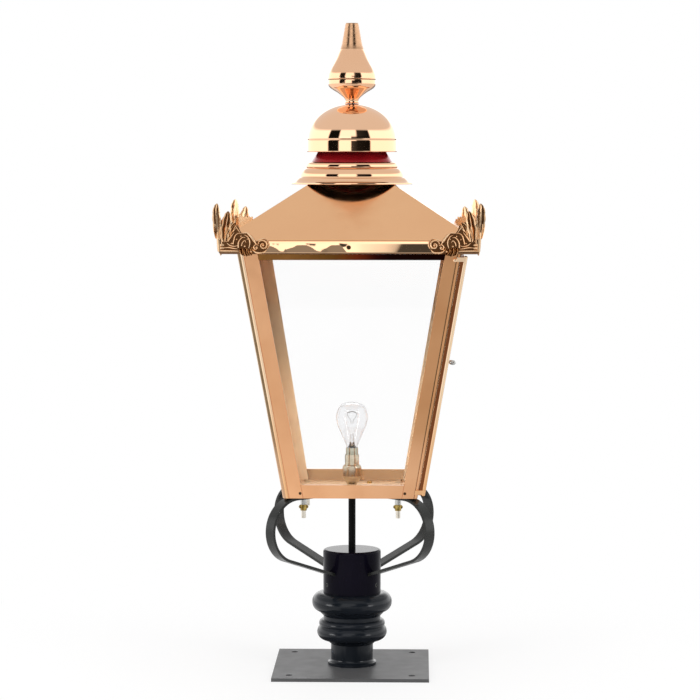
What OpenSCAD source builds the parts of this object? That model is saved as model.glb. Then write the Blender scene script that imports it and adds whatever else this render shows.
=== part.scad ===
// Pillar lantern: a tapering copper lantern with a glazed door, on a four-armed bracket
// and a turned cast column. Millimetres, +Z up, front towards -Y, door on the +X side.
// The origin is the centre of the base plate's underside.

/* [Base plate] */
// Side of the square base plate
plate_w = 276; // [240:1:320]
// Thickness of the base plate
plate_t = 6; // [5:0.5:12]
// Distance of each bolt hole's centre from the plate's edges
plate_hole_inset = 30; // [22:1:40]
// Diameter of the bolt holes
plate_hole_d = 12; // [9:0.5:16]

/* [Column] */
// Radius of the flared foot
foot_r = 43.3; // [41:0.1:50]
// Height of the foot's lip
foot_h = 5; // [3:0.5:8]
// Radius of the plain shaft
shaft_r = 37.6; // [34:0.1:40]
// Height of the plain shaft above the plate
shaft_h = 37.5; // [25:0.5:60]
// Height of the hollow curve under the lower ring
cavetto_h = 7.5; // [4:0.5:12]
// Outer radius of the lower ring
ring_low_r = 62.4; // [58:0.1:70]
// Height of the lower ring
ring_low_h = 29; // [24:0.5:36]
// Radius of the neck between the rings
neck_r = 51; // [46:0.5:54]
// Height of the neck between the rings
neck_h = 22.2; // [18:0.1:30]
// Section radius of the bead on the lower ring
bead_r = 7.5; // [5:0.5:9]
// Outer radius of the top ring
ring_top_r = 71.6; // [68:0.1:80]
// Height of the top ring
ring_top_h = 34.4; // [28:0.1:40]
// Radius of the spigot that the socket slips over
spigot_r = 38; // [34:0.5:42]
// Height of the spigot above the top ring
spigot_h = 61; // [40:1:62]
// Radius of the cable way through the column
column_bore_r = 27; // [15:0.5:30]

/* [Bracket] */
// Outer radius of the socket
socket_r = 51.5; // [48:0.1:56]
// Height of the socket
socket_h = 77.4; // [72:0.1:90]
// Thickness of the socket's closed top
socket_top_t = 14; // [10:0.5:16]
// Rounding of the socket's top edge
socket_edge_r = 4; // [1:0.5:8]
// Radius of the grub screws
grub_r = 4; // [3:0.5:5]
// Height of the grub screws above the socket's lower edge
grub_h = 16; // [10:1:24]
// Width of the flat arms
arm_w = 20; // [14:0.5:26]
// Thickness of the flat arms
arm_t = 5; // [4:0.5:8]
// Outer radius of each arm's loop
loop_r = 58; // [50:0.5:70]
// Distance of the loop's centre from the column's axis, along the diagonal
loop_reach = 140; // [125:0.5:150]
// Slope of the arm's straight part
arm_slope = 18.5; // [10:0.5:25]
// Distance of the arm's inner end from the axis
arm_end_reach = 75; // [60:1:95]
// Height of the lantern's underside above the socket
lantern_rise = 106; // [90:1:130]

/* [Fixings] */
// Radius of the fixing studs
stud_r = 4; // [3:0.5:5]
// Distance of each stud from the middle planes
stud_inset = 83; // [75:0.5:88]
// Radius of the stud's head
stud_head_r = 6.5; // [6:0.5:9]
// Height of the stud's head
stud_head_h = 5; // [3:0.5:8]
// Radius of the spacer collars
collar_r = 5.4; // [5.2:0.1:8]
// Height of the spacer collars
collar_h = 9.7; // [4:0.1:14]
// Radius of the wing nut's hub
wing_hub_r = 5.6; // [5.5:0.1:8]
// Height of the wing nut
wing_nut_h = 10.5; // [7:0.5:14]
// Half of the wing nut's span
wing_reach = 8.4; // [7.5:0.1:14]
// Thickness of the wing nut's wings
wing_t = 2.4; // [1.5:0.1:4]
// Length of stud that shows under the wing nut
stud_tail = 13.4; // [4:0.1:20]
// Outer radius of the conduit
conduit_r = 6.4; // [5:0.1:8]
// Wall of the conduit
conduit_wall = 1.5; // [1:0.1:2]
// Depth of the conduit in the socket's top
conduit_seat = 12; // [6:0.5:13]
// Radius across the corners of the conduit's nut
conduit_nut_r = 10.4; // [9.5:0.1:14]
// Thickness of the conduit's nut
conduit_nut_t = 5; // [3:0.5:8]

/* [Lantern frame] */
// Width of the frame at the bottom
body_bottom_w = 234; // [220:1:260]
// Width of the frame at the top
body_top_w = 382; // [350:1:400]
// Height of the frame
body_h = 430; // [380:1:480]
// Width of the corner posts on the glazed sides
post_w = 35; // [32:0.5:46]
// Width of the door posts on the front and the back
door_post_w = 27.5; // [24:0.5:34]
// Width of the door posts on the door's side
jamb_w = 16; // [12:0.5:20]
// Thickness of the posts and rails
post_t = 6; // [4:0.5:8]
// Width of the step along the door posts' corner
step_w = 6.5; // [4:0.5:9]
// Depth of the step along the door posts' corner
step_d = 2.5; // [1:0.5:3]
// Height of the sill rails
sill_h = 24; // [16:1:34]
// Height of the head rails
head_h = 11; // [8:1:20]
// Thickness of the floor plate
floor_t = 4; // [3:0.5:6]
// Thickness of the glass
glass_t = 3; // [2.5:0.5:4]
// Overlap of the glass behind the posts
glass_lap = 8; // [5:0.5:10]
// Thickness of the glazing clips
clip_t = 1; // [0.6:0.1:1.6]
// Length of the glazing clips
clip_l = 16; // [10:1:24]
// Radius of the rivets at the sill's ends
rivet_r = 2.6; // [2:0.1:3.5]
// Distance of the rivets from the inner edges of the posts
rivet_inset = 4; // [4:0.5:9]
// Height of the rivets above the frame's underside
rivet_h = 9; // [7:0.5:14]

/* [Door] */
// Width of the door's stiles
stile_w = 30; // [26:0.5:36]
// Thickness of the door's frame
door_t = 6; // [5:0.5:8]
// Height of the door's bottom rail
door_rail_low_h = 30; // [24:1:40]
// Height of the door's top rail
door_rail_top_h = 24; // [18:1:34]
// Height of the door's lower edge above the lantern's underside
door_low_gap = 6; // [4:0.5:12]
// Distance of the door's top edge below the frame's top
door_top_gap = 5; // [3:0.5:10]
// Thickness of the lip in front of the door's glass
door_lip_t = 2.4; // [1.5:0.1:3]
// Outer radius of the hinge tube
hinge_tube_r = 3.4; // [3:0.1:5]
// Radius of the hinge rod
hinge_rod_r = 2; // [1.5:0.1:2.4]
// Distance of the hinge rod's centre outside the posts
hinge_out = 8.6; // [7.5:0.1:11]
// Height of each hinge lug
lug_h = 10; // [7:0.5:14]
// Height of the knob above the lantern's underside
knob_h = 223; // [160:1:300]
// Length of the knob outside the door
knob_reach = 25.5; // [14:0.5:26]
// Radius of the knob's head
knob_r = 4.4; // [3.5:0.1:8]
// Radius of the knob's shaft
knob_shaft_r = 3; // [2:0.1:3.4]
// Length of the catch tongue from the knob's axis
tongue_l = 12; // [10:0.5:13]
// Width of the catch tongue
tongue_w = 8; // [6.5:0.5:8.5]
// Thickness of the catch tongue
tongue_t = 2; // [1.5:0.1:3]

/* [Eave and roof] */
// Width of the eave band
eave_w = 438; // [420:1:470]
// Height of the eave band
eave_h = 23; // [18:0.5:30]
// Thickness of the eave band
eave_t = 3; // [2:0.5:5]
// Thickness of the soffit
soffit_t = 2; // [1.5:0.5:4]
// Clear width inside the soffit
soffit_open_w = 300; // [260:1:330]
// Pitch of the roof
roof_pitch = 32.9; // [28:0.1:38]
// Thickness of the roof's sheet
roof_t = 2; // [1.5:0.1:3]
// Width of the opening at the roof's top
roof_open_w = 132; // [118:1:144]
// Radius of the eave screws' heads
eave_screw_r = 3.8; // [3:0.1:5]

/* [Corner ears] */
// Thickness of the ear's cast wings
ear_t = 4; // [3:0.5:6]
// Length of each wing along the eave
ear_wing_l = 88; // [70:1:110]
// Height of the ear's upright corner above the eave band
ear_body_h = 30; // [20:1:36]
// Height of the middle leaf's tip above the eave band
ear_leaf_h = 65; // [55:1:80]
// Width of the middle leaf
ear_leaf_w = 26; // [20:1:32]
// Outward lean of the middle leaf, in degrees
ear_lean = 8.5; // [0:0.5:12]
// Height of the side leaves' feet above the eave band
side_leaf_z = 14; // [8:1:20]
// Height of the side leaves' tips above the eave band
side_leaf_h = 50; // [44:1:60]
// Width of the side leaves
side_leaf_w = 18; // [14:1:24]
// Distance of the side leaves' feet from the corner
side_leaf_in = 10; // [6:1:18]
// Turn of the side leaves towards the eave's middle
side_leaf_turn = 17; // [5:1:30]
// Outward curl of the side leaves' tips
ear_curl = 3; // [1:0.1:5]
// Turn of the small lobe beside each side leaf
lobe_turn = 28; // [20:1:40]
// Length of that lobe
lobe_l = 26; // [20:1:32]
// Width of that lobe
lobe_w = 12; // [8:0.5:16]

/* [Vent and cowl] */
// Thickness of the spun sheet
sheet_t = 1.5; // [1:0.1:2.5]
// Radius of the skirt's rim
skirt_r = 108; // [102:0.5:114]
// Height of the skirt with its mouldings
skirt_h = 29.4; // [24:0.2:36]
// Radius at the top of the skirt's mouldings
skirt_top_r = 86; // [84:0.5:92]
// Radius of the bright ring's foot
ring_foot_r = 81.6; // [80:0.2:83]
// Radius of the bright ring's top
ring_crown_r = 77.3; // [74:0.1:79]
// Height of the bright ring
ring_h = 9.5; // [7:0.1:14]
// Radius of the red collar's foot
collar_foot_r = 70.8; // [69:0.1:72.5]
// Radius of the red collar's top
collar_top_r = 61.5; // [58:0.1:64]
// Height of the red collar
vent_collar_h = 16; // [12:0.1:24]
// Height of the collar's throat inside the cowl
throat_h = 12; // [8:0.5:14]
// Gap between the collar and the cowl's lower edge
cowl_gap = 2.2; // [1:0.1:6]
// Radius of the cowl
cowl_r = 80; // [76:0.5:86]
// Height of the cowl's band
band_h = 20.7; // [18:0.1:28]
// Height of the cowl's dome
dome_h = 64; // [54:1:76]
// Height of the straight foot under the dome's curve
dome_foot_h = 2.2; // [1:0.1:4]
// Width of the straps that carry the cowl
strap_w = 10; // [6:0.5:14]
// Thickness of the straps
strap_t = 3; // [2:0.5:4]
// Radius of the finial rod
rod_r = 4; // [3:0.5:5]

/* [Finial] */
// Radius of the finial at its seam
finial_r = 42.8; // [38:0.1:46]
// Radius of the finial's neck
finial_neck_r = 11.6; // [9:0.1:14]
// Height of the finial below its seam
finial_low_h = 42.6; // [36:0.1:50]
// Height of the finial above its seam
finial_high_h = 99.1; // [85:0.1:115]
// Radius of the finial's spire at its foot
spire_r = 18.6; // [16:0.1:21]
// Radius of the finial's tip
tip_r = 11; // [8:0.1:12]

/* [Lamp] */
// Radius of the lampholder's shell
holder_r = 17; // [15:0.5:20]
// Height of the lampholder's shell
holder_h = 37.2; // [34:0.1:44]
// Radius of the bulb's cap
cap_r = 11; // [10.5:0.1:11.2]
// Length of the bulb's cap
cap_l = 30; // [26:0.5:34]
// Radius of the bulb
bulb_r = 28.6; // [26:0.1:32]
// Height of the bulb's glass above its cap
bulb_h = 82; // [74:1:90]
// Wall of the bulb's glass
bulb_wall = 1; // [0.8:0.1:1.5]
// Radius of the bulb's bayonet pins
pin_r = 1; // [0.8:0.1:1.2]
// Angle that the bulb turns in its slots
bulb_turn = 20; // [15:1:30]
// Radius of the contact plungers
plunger_r = 2.6; // [2:0.1:3]
// Travel of the contact plungers
plunger_travel = 3; // [2:0.5:3.5]

/* [Hidden] */
$fn = 96;

// Colours of the materials
iron_colour = [0.09, 0.09, 0.1];
plate_colour = [0.3, 0.3, 0.31];
copper_colour = [0.86, 0.6, 0.42];
bright_copper_colour = [0.93, 0.7, 0.52];
red_copper_colour = [0.5, 0.05, 0.08];
brass_colour = [0.75, 0.62, 0.3];
steel_colour = [0.7, 0.7, 0.7];
glass_colour = [0.85, 0.9, 0.92, 0.25];

// Clearances
// Between pieces of one body that are soldered, welded or bolted together
seat_gap = 0.1;
// Between a pin or shaft and its bore
pin_gap = 0.05;
// Between the spigot and the socket, and between pieces that move past each other
slip_gap = 0.3;
// Overshoot of a cut past the surface that it opens
cut = 1;

// Heights along the object
plate_top = plate_t;
shaft_top = plate_top + shaft_h;
ring_low_z = shaft_top + cavetto_h;
neck_z = ring_low_z + ring_low_h;
ring_top_z = neck_z + neck_h;
socket_z = ring_top_z + ring_top_h;
socket_top = socket_z + socket_h;
lantern_z = socket_top + lantern_rise;
floor_top = lantern_z + floor_t;
sill_top = lantern_z + sill_h;
body_top = lantern_z + body_h;
head_low = body_top - head_h;
eave_top = body_top + eave_h;

// The frame's lean, and its half width at height z
lean = atan((body_top_w - body_bottom_w) / 2 / body_h);
function half(z) = body_bottom_w / 2 + (z - lantern_z) * tan(lean);
// Horizontal shift of a plane that lies o outside the frame's faces
function skin(o) = o / cos(lean);
// A line parallel to the frame's corner, d inside it, on side s of a face
function edge_at(e, z) = e[0] * (half(z) - e[1]);
reach = eave_w;

// Faces are numbered 0 right, 1 back, 2 left, 3 front; the widths of the posts at each end
post_w_minus = [jamb_w, door_post_w, post_w, post_w];
post_w_plus = [jamb_w, post_w, post_w, door_post_w];
fixed_faces = [1, 2, 3];
all_faces = [0, 1, 2, 3];

// Offsets of the fixed glass from the frame's faces, outer and inner
glass_out = -post_t - slip_gap;
glass_in = glass_out - glass_t;

// Door: offsets of its inner and outer faces, its ends, and its glass
door_in = 0.5;
door_out = door_in + door_t;
door_low = lantern_z + door_low_gap;
rivet_z = lantern_z + rivet_h;
door_top = body_top - door_top_gap;
door_rebate = door_out - door_lip_t;
door_glass_out = door_rebate - slip_gap;
door_glass_in = door_glass_out - glass_t;
// The hinge's axis lies this far inside the corner line
hinge_in = hinge_tube_r;
stile_start = hinge_in - 0.9;
stile_end_hinge = stile_start + stile_w;
stile_end_catch = stile_start + stile_w;
hinge_low = door_low + lug_h + slip_gap;
hinge_high = door_top - lug_h - slip_gap;
hinge_axis = [tan(lean), -tan(lean), 1];
hinge_bottom = [half(door_low) + skin(hinge_out), -(half(door_low) - hinge_in), door_low];
// Lean of the hinge rod from the vertical, and the compass direction of that lean
hinge_tilt = atan(norm([hinge_axis.x, hinge_axis.y]));

// Knob: its place on the catch stile
knob_z = lantern_z + knob_h;
knob_edge = jamb_w + knob_shaft_r + 1.5;
knob_at = [half(knob_z), half(knob_z) - knob_edge, knob_z];
tongue_out = -post_t - slip_gap;

// Roof
eave_half = eave_w / 2;
function roof_z(x) = eave_top + (eave_half - x) * tan(roof_pitch);

// Vent and cowl: the skirt's rim rests on the hips
skirt_z = roof_z((skirt_r - sheet_t) / sqrt(2)) + slip_gap;
skirt_top = skirt_z + skirt_h;
ring_top = skirt_top + ring_h;
vent_collar_top = ring_top + vent_collar_h;
throat_top = vent_collar_top + throat_h;
band_z = vent_collar_top + cowl_gap;
band_top = band_z + band_h;
dome_top = band_top + dome_h;
strap_hub_r = 11;
rod_nut_h = 6.5;
rod_low = throat_top - rod_nut_h - 4;
finial_z = dome_top + slip_gap;
finial_seam = finial_z + finial_low_h;
finial_top = finial_seam + finial_high_h;
rod_top = finial_z + 14;

// Lamp: heights of the holder, its barrel and the bulb
holder_z = floor_top + conduit_nut_t + slip_gap;
holder_top = holder_z + holder_h;
barrel_wall = 1.4;
barrel_r = cap_r + slip_gap + barrel_wall;
barrel_h = 18;
cap_z = holder_top + slip_gap;
cap_top = cap_z + cap_l;
bulb_top = cap_top + bulb_h;
pin_z = cap_z + 5.5;
plunger_spread = 5;
// Angle that the bayonet slots run past the pin's centre
slot_ends = 7;
plunger_l = 9;

// A smooth curve through the points p, n steps to each stretch
function spline_point(a, b, c, d, t) = 0.5 * ((2 * b) + (c - a) * t
    + (2 * a - 5 * b + 4 * c - d) * t * t + (3 * b - a - 3 * c + d) * t * t * t);
function smooth(p, n = 4) = concat([for (i = [0 : len(p) - 2], s = [0 : n - 1])
    spline_point(p[max(i - 1, 0)], p[i], p[i + 1], p[min(i + 2, len(p) - 1)], s / n)],
    [p[len(p) - 1]]);

// A thin shell under the outline p, which runs upwards and inwards
function shell(p, t) = concat(p, [for (i = [len(p) - 1 : -1 : 0])
    [p[i].x - (i == len(p) - 1 ? 0 : t), p[i].y - (i == 0 ? 0 : t)]]);

// A quarter ellipse from the widest point up to the radius r_end
function dome_arc(r, h, z, r_end, n) = let (last = acos(r_end / r))
    [for (i = [0 : n]) [r * cos(last * i / n), z + h * sin(last * i / n)]];

module lathe(points) {
    rotate_extrude() polygon(points);
}

module at_corners(d) {
    for (x = [-d, d], y = [-d, d]) translate([x, y, 0]) children();
}

// Slab between two offsets from the right face
module slab(o0, o1, z0, z1) {
    rotate([90, 0, 0]) linear_extrude(2 * reach, center = true) polygon([
        [half(z0) + skin(o0), z0], [half(z0) + skin(o1), z0],
        [half(z1) + skin(o1), z1], [half(z1) + skin(o0), z1]]);
}

// Strip between two corner lines of the right face
module strip(e0, e1, z0, z1) {
    rotate([90, 0, 90]) linear_extrude(reach) polygon([
        [edge_at(e0, z0), z0], [edge_at(e1, z0), z0],
        [edge_at(e1, z1), z1], [edge_at(e0, z1), z1]]);
}

// A flat piece that lies on face k, between two corner lines and two offsets
module tile(k, e0, e1, o0, o1, z0, z1) {
    rotate([0, 0, 90 * k]) intersection() {
        slab(o0, o1, z0, z1);
        strip(e0, e1, z0, z1);
    }
}

// The leaning square block whose sides lie o outside the frame's faces
module taper_prism(o, z0, z1) {
    rotate([90, 0, 0]) linear_extrude(2 * reach, center = true) polygon([
        [-half(z0) - skin(o), z0], [half(z0) + skin(o), z0],
        [half(z1) + skin(o), z1], [-half(z1) - skin(o), z1]]);
}

module taper_block(o, z0, z1) {
    intersection() {
        taper_prism(o, z0, z1);
        rotate([0, 0, 90]) taper_prism(o, z0, z1);
    }
}

// Limits a piece to the quarter of the plan that face k owns, short of the mitre lines
module quarter(k) {
    rotate([0, 0, 90 * k]) translate([seat_gap / 2 * sqrt(2), 0, 0]) linear_extrude(3 * reach)
        polygon([[0, 0], [reach, -reach], [reach, reach]]);
}

// Base
module base_plate() {
    color(plate_colour) difference() {
        translate([-plate_w / 2, -plate_w / 2, 0]) cube([plate_w, plate_w, plate_t]);
        at_corners(plate_w / 2 - plate_hole_inset)
            translate([0, 0, -cut]) cylinder(d = plate_hole_d, h = plate_t + 2 * cut);
        translate([0, 0, -cut]) cylinder(r = column_bore_r, h = plate_t + 2 * cut);
    }
}

module column_outline() {
    ring_low_c = ring_low_r - ring_low_h / 2;
    ring_top_c = ring_top_r - ring_top_h / 2;
    bead_c = neck_r + 0.5;
    cove = foot_r - shaft_r;
    difference() {
        translate([0, plate_top]) square([foot_r, foot_h + cove]);
        translate([foot_r, plate_top + foot_h + cove]) circle(r = cove);
    }
    translate([0, plate_top]) square([shaft_r, shaft_h + cavetto_h]);
    polygon([[0, shaft_top], [shaft_r, shaft_top], [ring_low_c, ring_low_z + 1], [0, ring_low_z + 1]]);
    translate([ring_low_c, ring_low_z + ring_low_h / 2]) circle(r = ring_low_h / 2);
    translate([0, ring_low_z]) square([ring_low_c, ring_low_h]);
    translate([bead_c, neck_z + 1]) circle(r = bead_r);
    translate([0, neck_z]) square([neck_r, neck_h]);
    polygon([[0, ring_top_z - bead_r], [neck_r, ring_top_z - bead_r],
        [ring_top_c + 5, ring_top_z + 1], [0, ring_top_z + 1]]);
    translate([ring_top_c, ring_top_z + ring_top_h / 2]) circle(r = ring_top_h / 2);
    translate([0, ring_top_z]) square([ring_top_c, ring_top_h]);
    translate([0, socket_z - cut]) square([spigot_r, spigot_h + cut]);
}

module column() {
    color(iron_colour) rotate_extrude() difference() {
        column_outline();
        translate([0, plate_top - cut]) square([column_bore_r, socket_top]);
    }
}

// Angles of the grub screws around the socket
grub_angles = [90, 210, 330];

module frog_socket() {
    color(iron_colour) difference() {
        rotate_extrude() difference() {
            union() {
                translate([0, socket_z]) square([socket_r, socket_h - socket_edge_r]);
                translate([0, socket_z]) square([socket_r - socket_edge_r, socket_h]);
                translate([socket_r - socket_edge_r, socket_top - socket_edge_r])
                    circle(r = socket_edge_r);
            }
            translate([0, socket_z - cut])
                square([spigot_r + slip_gap, socket_h - socket_top_t + cut]);
            translate([0, socket_z]) square([conduit_r + pin_gap, socket_h + cut]);
        }
        for (a = grub_angles) rotate([0, 0, a]) translate([0, 0, socket_z + grub_h])
            rotate([0, 90, 0]) cylinder(r = grub_r + pin_gap, h = socket_r + cut);
    }
}

module socket_screws() {
    grub_l = socket_r - spigot_r - 2 * slip_gap;
    color(steel_colour) for (a = grub_angles) rotate([0, 0, a])
        translate([spigot_r + slip_gap / 2, 0, socket_z + grub_h]) rotate([0, 90, 0])
            difference() {
                cylinder(r = grub_r, h = grub_l);
                translate([0, 0, grub_l - grub_r]) cylinder(r = grub_r / 2, h = grub_r + cut, $fn = 6);
            }
}

// Side view of an arm: x is the distance from the axis along the diagonal
module arm_outline() {
    loop_z = lantern_z - loop_r;
    run = (loop_reach + loop_r * sin(arm_slope)) / cos(arm_slope);
    difference() {
        translate([loop_reach, loop_z]) circle(r = loop_r);
        translate([loop_reach, loop_z]) circle(r = loop_r - arm_t);
        translate([loop_reach, loop_z]) rotate(arm_slope)
            translate([-2 * loop_r, -2 * loop_r]) square([2 * loop_r, 2 * loop_r]);
        translate([loop_reach - 2 * loop_r, loop_z - loop_r]) square([2 * loop_r, 2 * loop_r]);
    }
    translate([loop_reach, loop_z]) rotate(arm_slope)
        translate([-run, -loop_r]) square([run, arm_t]);
    translate([arm_end_reach, lantern_z - arm_t]) square([loop_reach - arm_end_reach, arm_t]);
}

module arm(angle) {
    color(iron_colour) difference() {
        rotate([90, 0, angle]) linear_extrude(arm_w, center = true) arm_outline();
        translate([0, 0, socket_z]) cylinder(r = socket_r + seat_gap, h = socket_h);
        at_corners(stud_inset) translate([0, 0, lantern_z - 2 * arm_t])
            cylinder(r = stud_r + seat_gap, h = 3 * arm_t);
    }
}

module arm_front_left() arm(225);
module arm_front_right() arm(315);
module arm_back_left() arm(135);
module arm_back_right() arm(45);

module conduit() {
    low = socket_top - conduit_seat;
    color(iron_colour) translate([0, 0, low]) difference() {
        cylinder(r = conduit_r, h = holder_z + 4 - low);
        translate([0, 0, -cut]) cylinder(r = conduit_r - conduit_wall, h = holder_z + 4 - low + 2 * cut);
    }
}

module conduit_nut() {
    color(iron_colour) translate([0, 0, floor_top + seat_gap]) difference() {
        cylinder(r = conduit_nut_r, h = conduit_nut_t, $fn = 6);
        translate([0, 0, -cut]) cylinder(r = conduit_r + pin_gap, h = conduit_nut_t + 2 * cut);
    }
}

// Fixings
arm_low = lantern_z - arm_t;
nut_top = arm_low - collar_h - 2 * seat_gap;
nut_low = nut_top - wing_nut_h;

module fixing_studs() {
    color(steel_colour) at_corners(stud_inset) {
        translate([0, 0, nut_low - stud_tail]) cylinder(r = stud_r, h = floor_top + cut - nut_low + stud_tail);
        translate([0, 0, floor_top + seat_gap]) cylinder(r = stud_head_r, h = stud_head_h, $fn = 6);
    }
}

module spacer_collars() {
    color(steel_colour) at_corners(stud_inset) translate([0, 0, nut_top + seat_gap]) difference() {
        cylinder(r = collar_r, h = collar_h);
        translate([0, 0, -cut]) cylinder(r = stud_r + pin_gap, h = collar_h + 2 * cut);
    }
}

module wing_nuts() {
    color(brass_colour) at_corners(stud_inset) translate([0, 0, nut_low]) difference() {
        union() {
            cylinder(r = wing_hub_r, h = wing_nut_h);
            for (side = [-1, 1]) translate([side * (wing_reach - 3.2), wing_t / 2, wing_nut_h - 4])
                rotate([90, 0, 0]) cylinder(r = 3.2, h = wing_t);
        }
        translate([0, 0, -cut]) cylinder(r = stud_r + pin_gap, h = wing_nut_h + 2 * cut);
    }
}

// Lantern frame
earth_at = [30, 72];

module floor_plate() {
    color(copper_colour) difference() {
        taper_block(-post_t - seat_gap, lantern_z, floor_top);
        at_corners(stud_inset) translate([0, 0, lantern_z - cut])
            cylinder(r = stud_r + seat_gap, h = floor_t + 2 * cut);
        translate([0, 0, lantern_z - cut]) cylinder(r = conduit_r + seat_gap, h = floor_t + 2 * cut);
        translate([earth_at.x, earth_at.y, lantern_z - cut]) cylinder(r = 2 + pin_gap, h = floor_t + 2 * cut);
    }
}

module rail(k, z0, z1) {
    tile(k, [-1, post_w_minus[k]], [1, post_w_plus[k]], -post_t, 0, z0, z1);
}

// Rivets that hold the posts' feet, front and back, beside their inner edges
rivet_edges = [for (k = [1, 3]) each [[k, -1, post_w_minus[k] - rivet_inset], [k, 1, post_w_plus[k] - rivet_inset]]];

module at_rivets() {
    for (r = rivet_edges) rotate([0, 0, 90 * r[0]])
        translate([half(rivet_z), edge_at([r[1], r[2]], rivet_z), rivet_z]) rotate([0, 90 + lean, 0])
            children();
}

module sill_rails() {
    color(copper_colour) for (k = all_faces) rail(k, lantern_z, sill_top);
}

module frame_rivets() {
    color(bright_copper_colour) at_rivets() {
        translate([0, 0, -post_t]) cylinder(r = rivet_r / 2, h = post_t + cut);
        translate([0, 0, seat_gap]) cylinder(r1 = rivet_r, r2 = rivet_r * 0.6, h = 1.4);
    }
}

module head_rails() {
    color(copper_colour) for (k = all_faces) rail(k, head_low, body_top);
}

module rivet_holes() {
    at_rivets() translate([0, 0, -post_t - cut]) cylinder(r = rivet_r / 2 + seat_gap, h = post_t + 2 * cut);
}

// One leg of a post, mitred at the corner
module leg(k, side, w) {
    intersection() {
        tile(k, [side, w], [side, 0], -post_t, 0, lantern_z, body_top);
        quarter(k);
    }
}

module post(k_minus, w_minus, k_plus, w_plus) {
    leg(k_minus, -1, w_minus);
    leg(k_plus, 1, w_plus);
}

module step_cut(k, side) {
    tile(k, [side, step_w], [side, -2 * post_t], -step_d, post_t, lantern_z - cut, body_top + cut);
}

module post_front_left() {
    color(copper_colour) difference() {
        post(3, post_w, 2, post_w);
        rivet_holes();
    }
}

module post_front_right() {
    color(copper_colour) difference() {
        post(0, jamb_w, 3, door_post_w);
        step_cut(3, 1);
        rivet_holes();
    }
}

module post_back_left() {
    color(copper_colour) difference() {
        post(2, post_w, 1, post_w);
        rivet_holes();
    }
}

module post_back_right() {
    color(copper_colour) difference() {
        post(1, door_post_w, 0, jamb_w);
        step_cut(1, -1);
        rivet_holes();
    }
}

module glass(k) {
    color(glass_colour) tile(k, [-1, post_w_minus[k] - glass_lap], [1, post_w_plus[k] - glass_lap],
        glass_in, glass_out, floor_top + seat_gap, body_top - slip_gap);
}

module glass_front() glass(3);
module glass_back() glass(1);
module glass_left() glass(2);

// Widths of a clip's foot on the post and of its lap over the glass
clip_foot = 9;
clip_lap = 6;
// Heights of the clips along the posts
clip_heights = [lantern_z + body_h * 0.25, lantern_z + body_h * 0.75];

// A folded clip: its foot lies on the post beside the glass, its tongue laps the glass
module fixed_clip(k, side, w, z) {
    beside = w - glass_lap - slip_gap;
    foot_top = -post_t - seat_gap;
    lap_top = glass_in - seat_gap;
    color(copper_colour) {
        tile(k, [side, beside], [side, beside - clip_foot], foot_top - clip_t, foot_top, z, z + clip_l);
        tile(k, [side, beside], [side, beside - clip_t], lap_top - clip_t, foot_top, z, z + clip_l);
        tile(k, [side, beside + clip_lap], [side, beside - clip_t], lap_top - clip_t, lap_top, z, z + clip_l);
    }
}

module glazing_clips() {
    for (k = fixed_faces, z = clip_heights) {
        fixed_clip(k, -1, post_w_minus[k], z);
        fixed_clip(k, 1, post_w_plus[k], z);
    }
}

// Door
module door_rebate_cut() {
    tile(0, [-1, stile_end_hinge - glass_lap], [1, stile_end_catch - glass_lap], door_in - cut, door_rebate,
        door_low + door_rail_low_h - glass_lap, door_top - door_rail_top_h + glass_lap);
}

// Runs a piece along the hinge's axis, from height z0 to height z1
module along_hinge(z0, z1) {
    start = hinge_bottom + (z0 - door_low) * hinge_axis;
    translate(start) rotate([0, 0, -45]) rotate([0, hinge_tilt, 0])
        linear_extrude((z1 - z0) / cos(hinge_tilt)) children();
}

module hinge_seat_cut() {
    along_hinge(door_low - 5 * cut, door_top + 5 * cut) circle(r = hinge_tube_r + seat_gap);
}

module door_stile_hinge() {
    color(copper_colour) difference() {
        tile(0, [-1, stile_end_hinge], [-1, stile_start], door_in, door_out, door_low, door_top);
        door_rebate_cut();
        hinge_seat_cut();
    }
}

module door_stile_catch() {
    color(copper_colour) difference() {
        tile(0, [1, stile_end_catch], [1, stile_start], door_in, door_out, door_low, door_top);
        door_rebate_cut();
        translate(knob_at) rotate([0, 90 + lean, 0]) translate([0, 0, -cut])
            cylinder(r = knob_shaft_r + pin_gap, h = door_out + 2 * cut);
    }
}

module door_rail(z0, z1) {
    color(copper_colour) difference() {
        tile(0, [-1, stile_end_hinge], [1, stile_end_catch], door_in, door_out, z0, z1);
        door_rebate_cut();
    }
}

module door_rail_top() door_rail(door_top - door_rail_top_h, door_top);
module door_rail_bottom() door_rail(door_low, door_low + door_rail_low_h);

module door_glass() {
    lap = glass_lap - slip_gap;
    color(glass_colour) tile(0, [-1, stile_end_hinge - lap], [1, stile_end_catch - lap],
        door_glass_in, door_glass_out, door_low + door_rail_low_h - lap, door_top - door_rail_top_h + lap);
}

// Clips across the inner edge of the door's glass, clear of the posts
module door_clips() {
    color(copper_colour) for (side = [-1, 1], z = clip_heights)
        tile(0, [side, stile_end_catch + 4], [side, jamb_w + 2], door_in - seat_gap - clip_t,
            door_in - seat_gap, z, z + clip_l);
}

module hinge_tube() {
    color(bright_copper_colour) along_hinge(hinge_low, hinge_high) difference() {
        circle(r = hinge_tube_r);
        circle(r = hinge_rod_r + pin_gap);
    }
}

// A lug: an eye around the rod on a strap that lies in the post's step
module lug(z0) {
    // The strap stops short of the eye's slanted ends
    dip = 1.5 * hinge_tube_r * sin(hinge_tilt);
    difference() {
        union() {
            along_hinge(z0, z0 + lug_h) circle(r = hinge_tube_r);
            tile(0, [-1, step_d - seat_gap], [-1, 2 * seat_gap], 2 * seat_gap - step_w, hinge_out,
                z0 + dip, z0 + lug_h - dip);
        }
        along_hinge(z0 - lug_h, z0 + 2 * lug_h) circle(r = hinge_rod_r + pin_gap / 2);
    }
}

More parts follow.
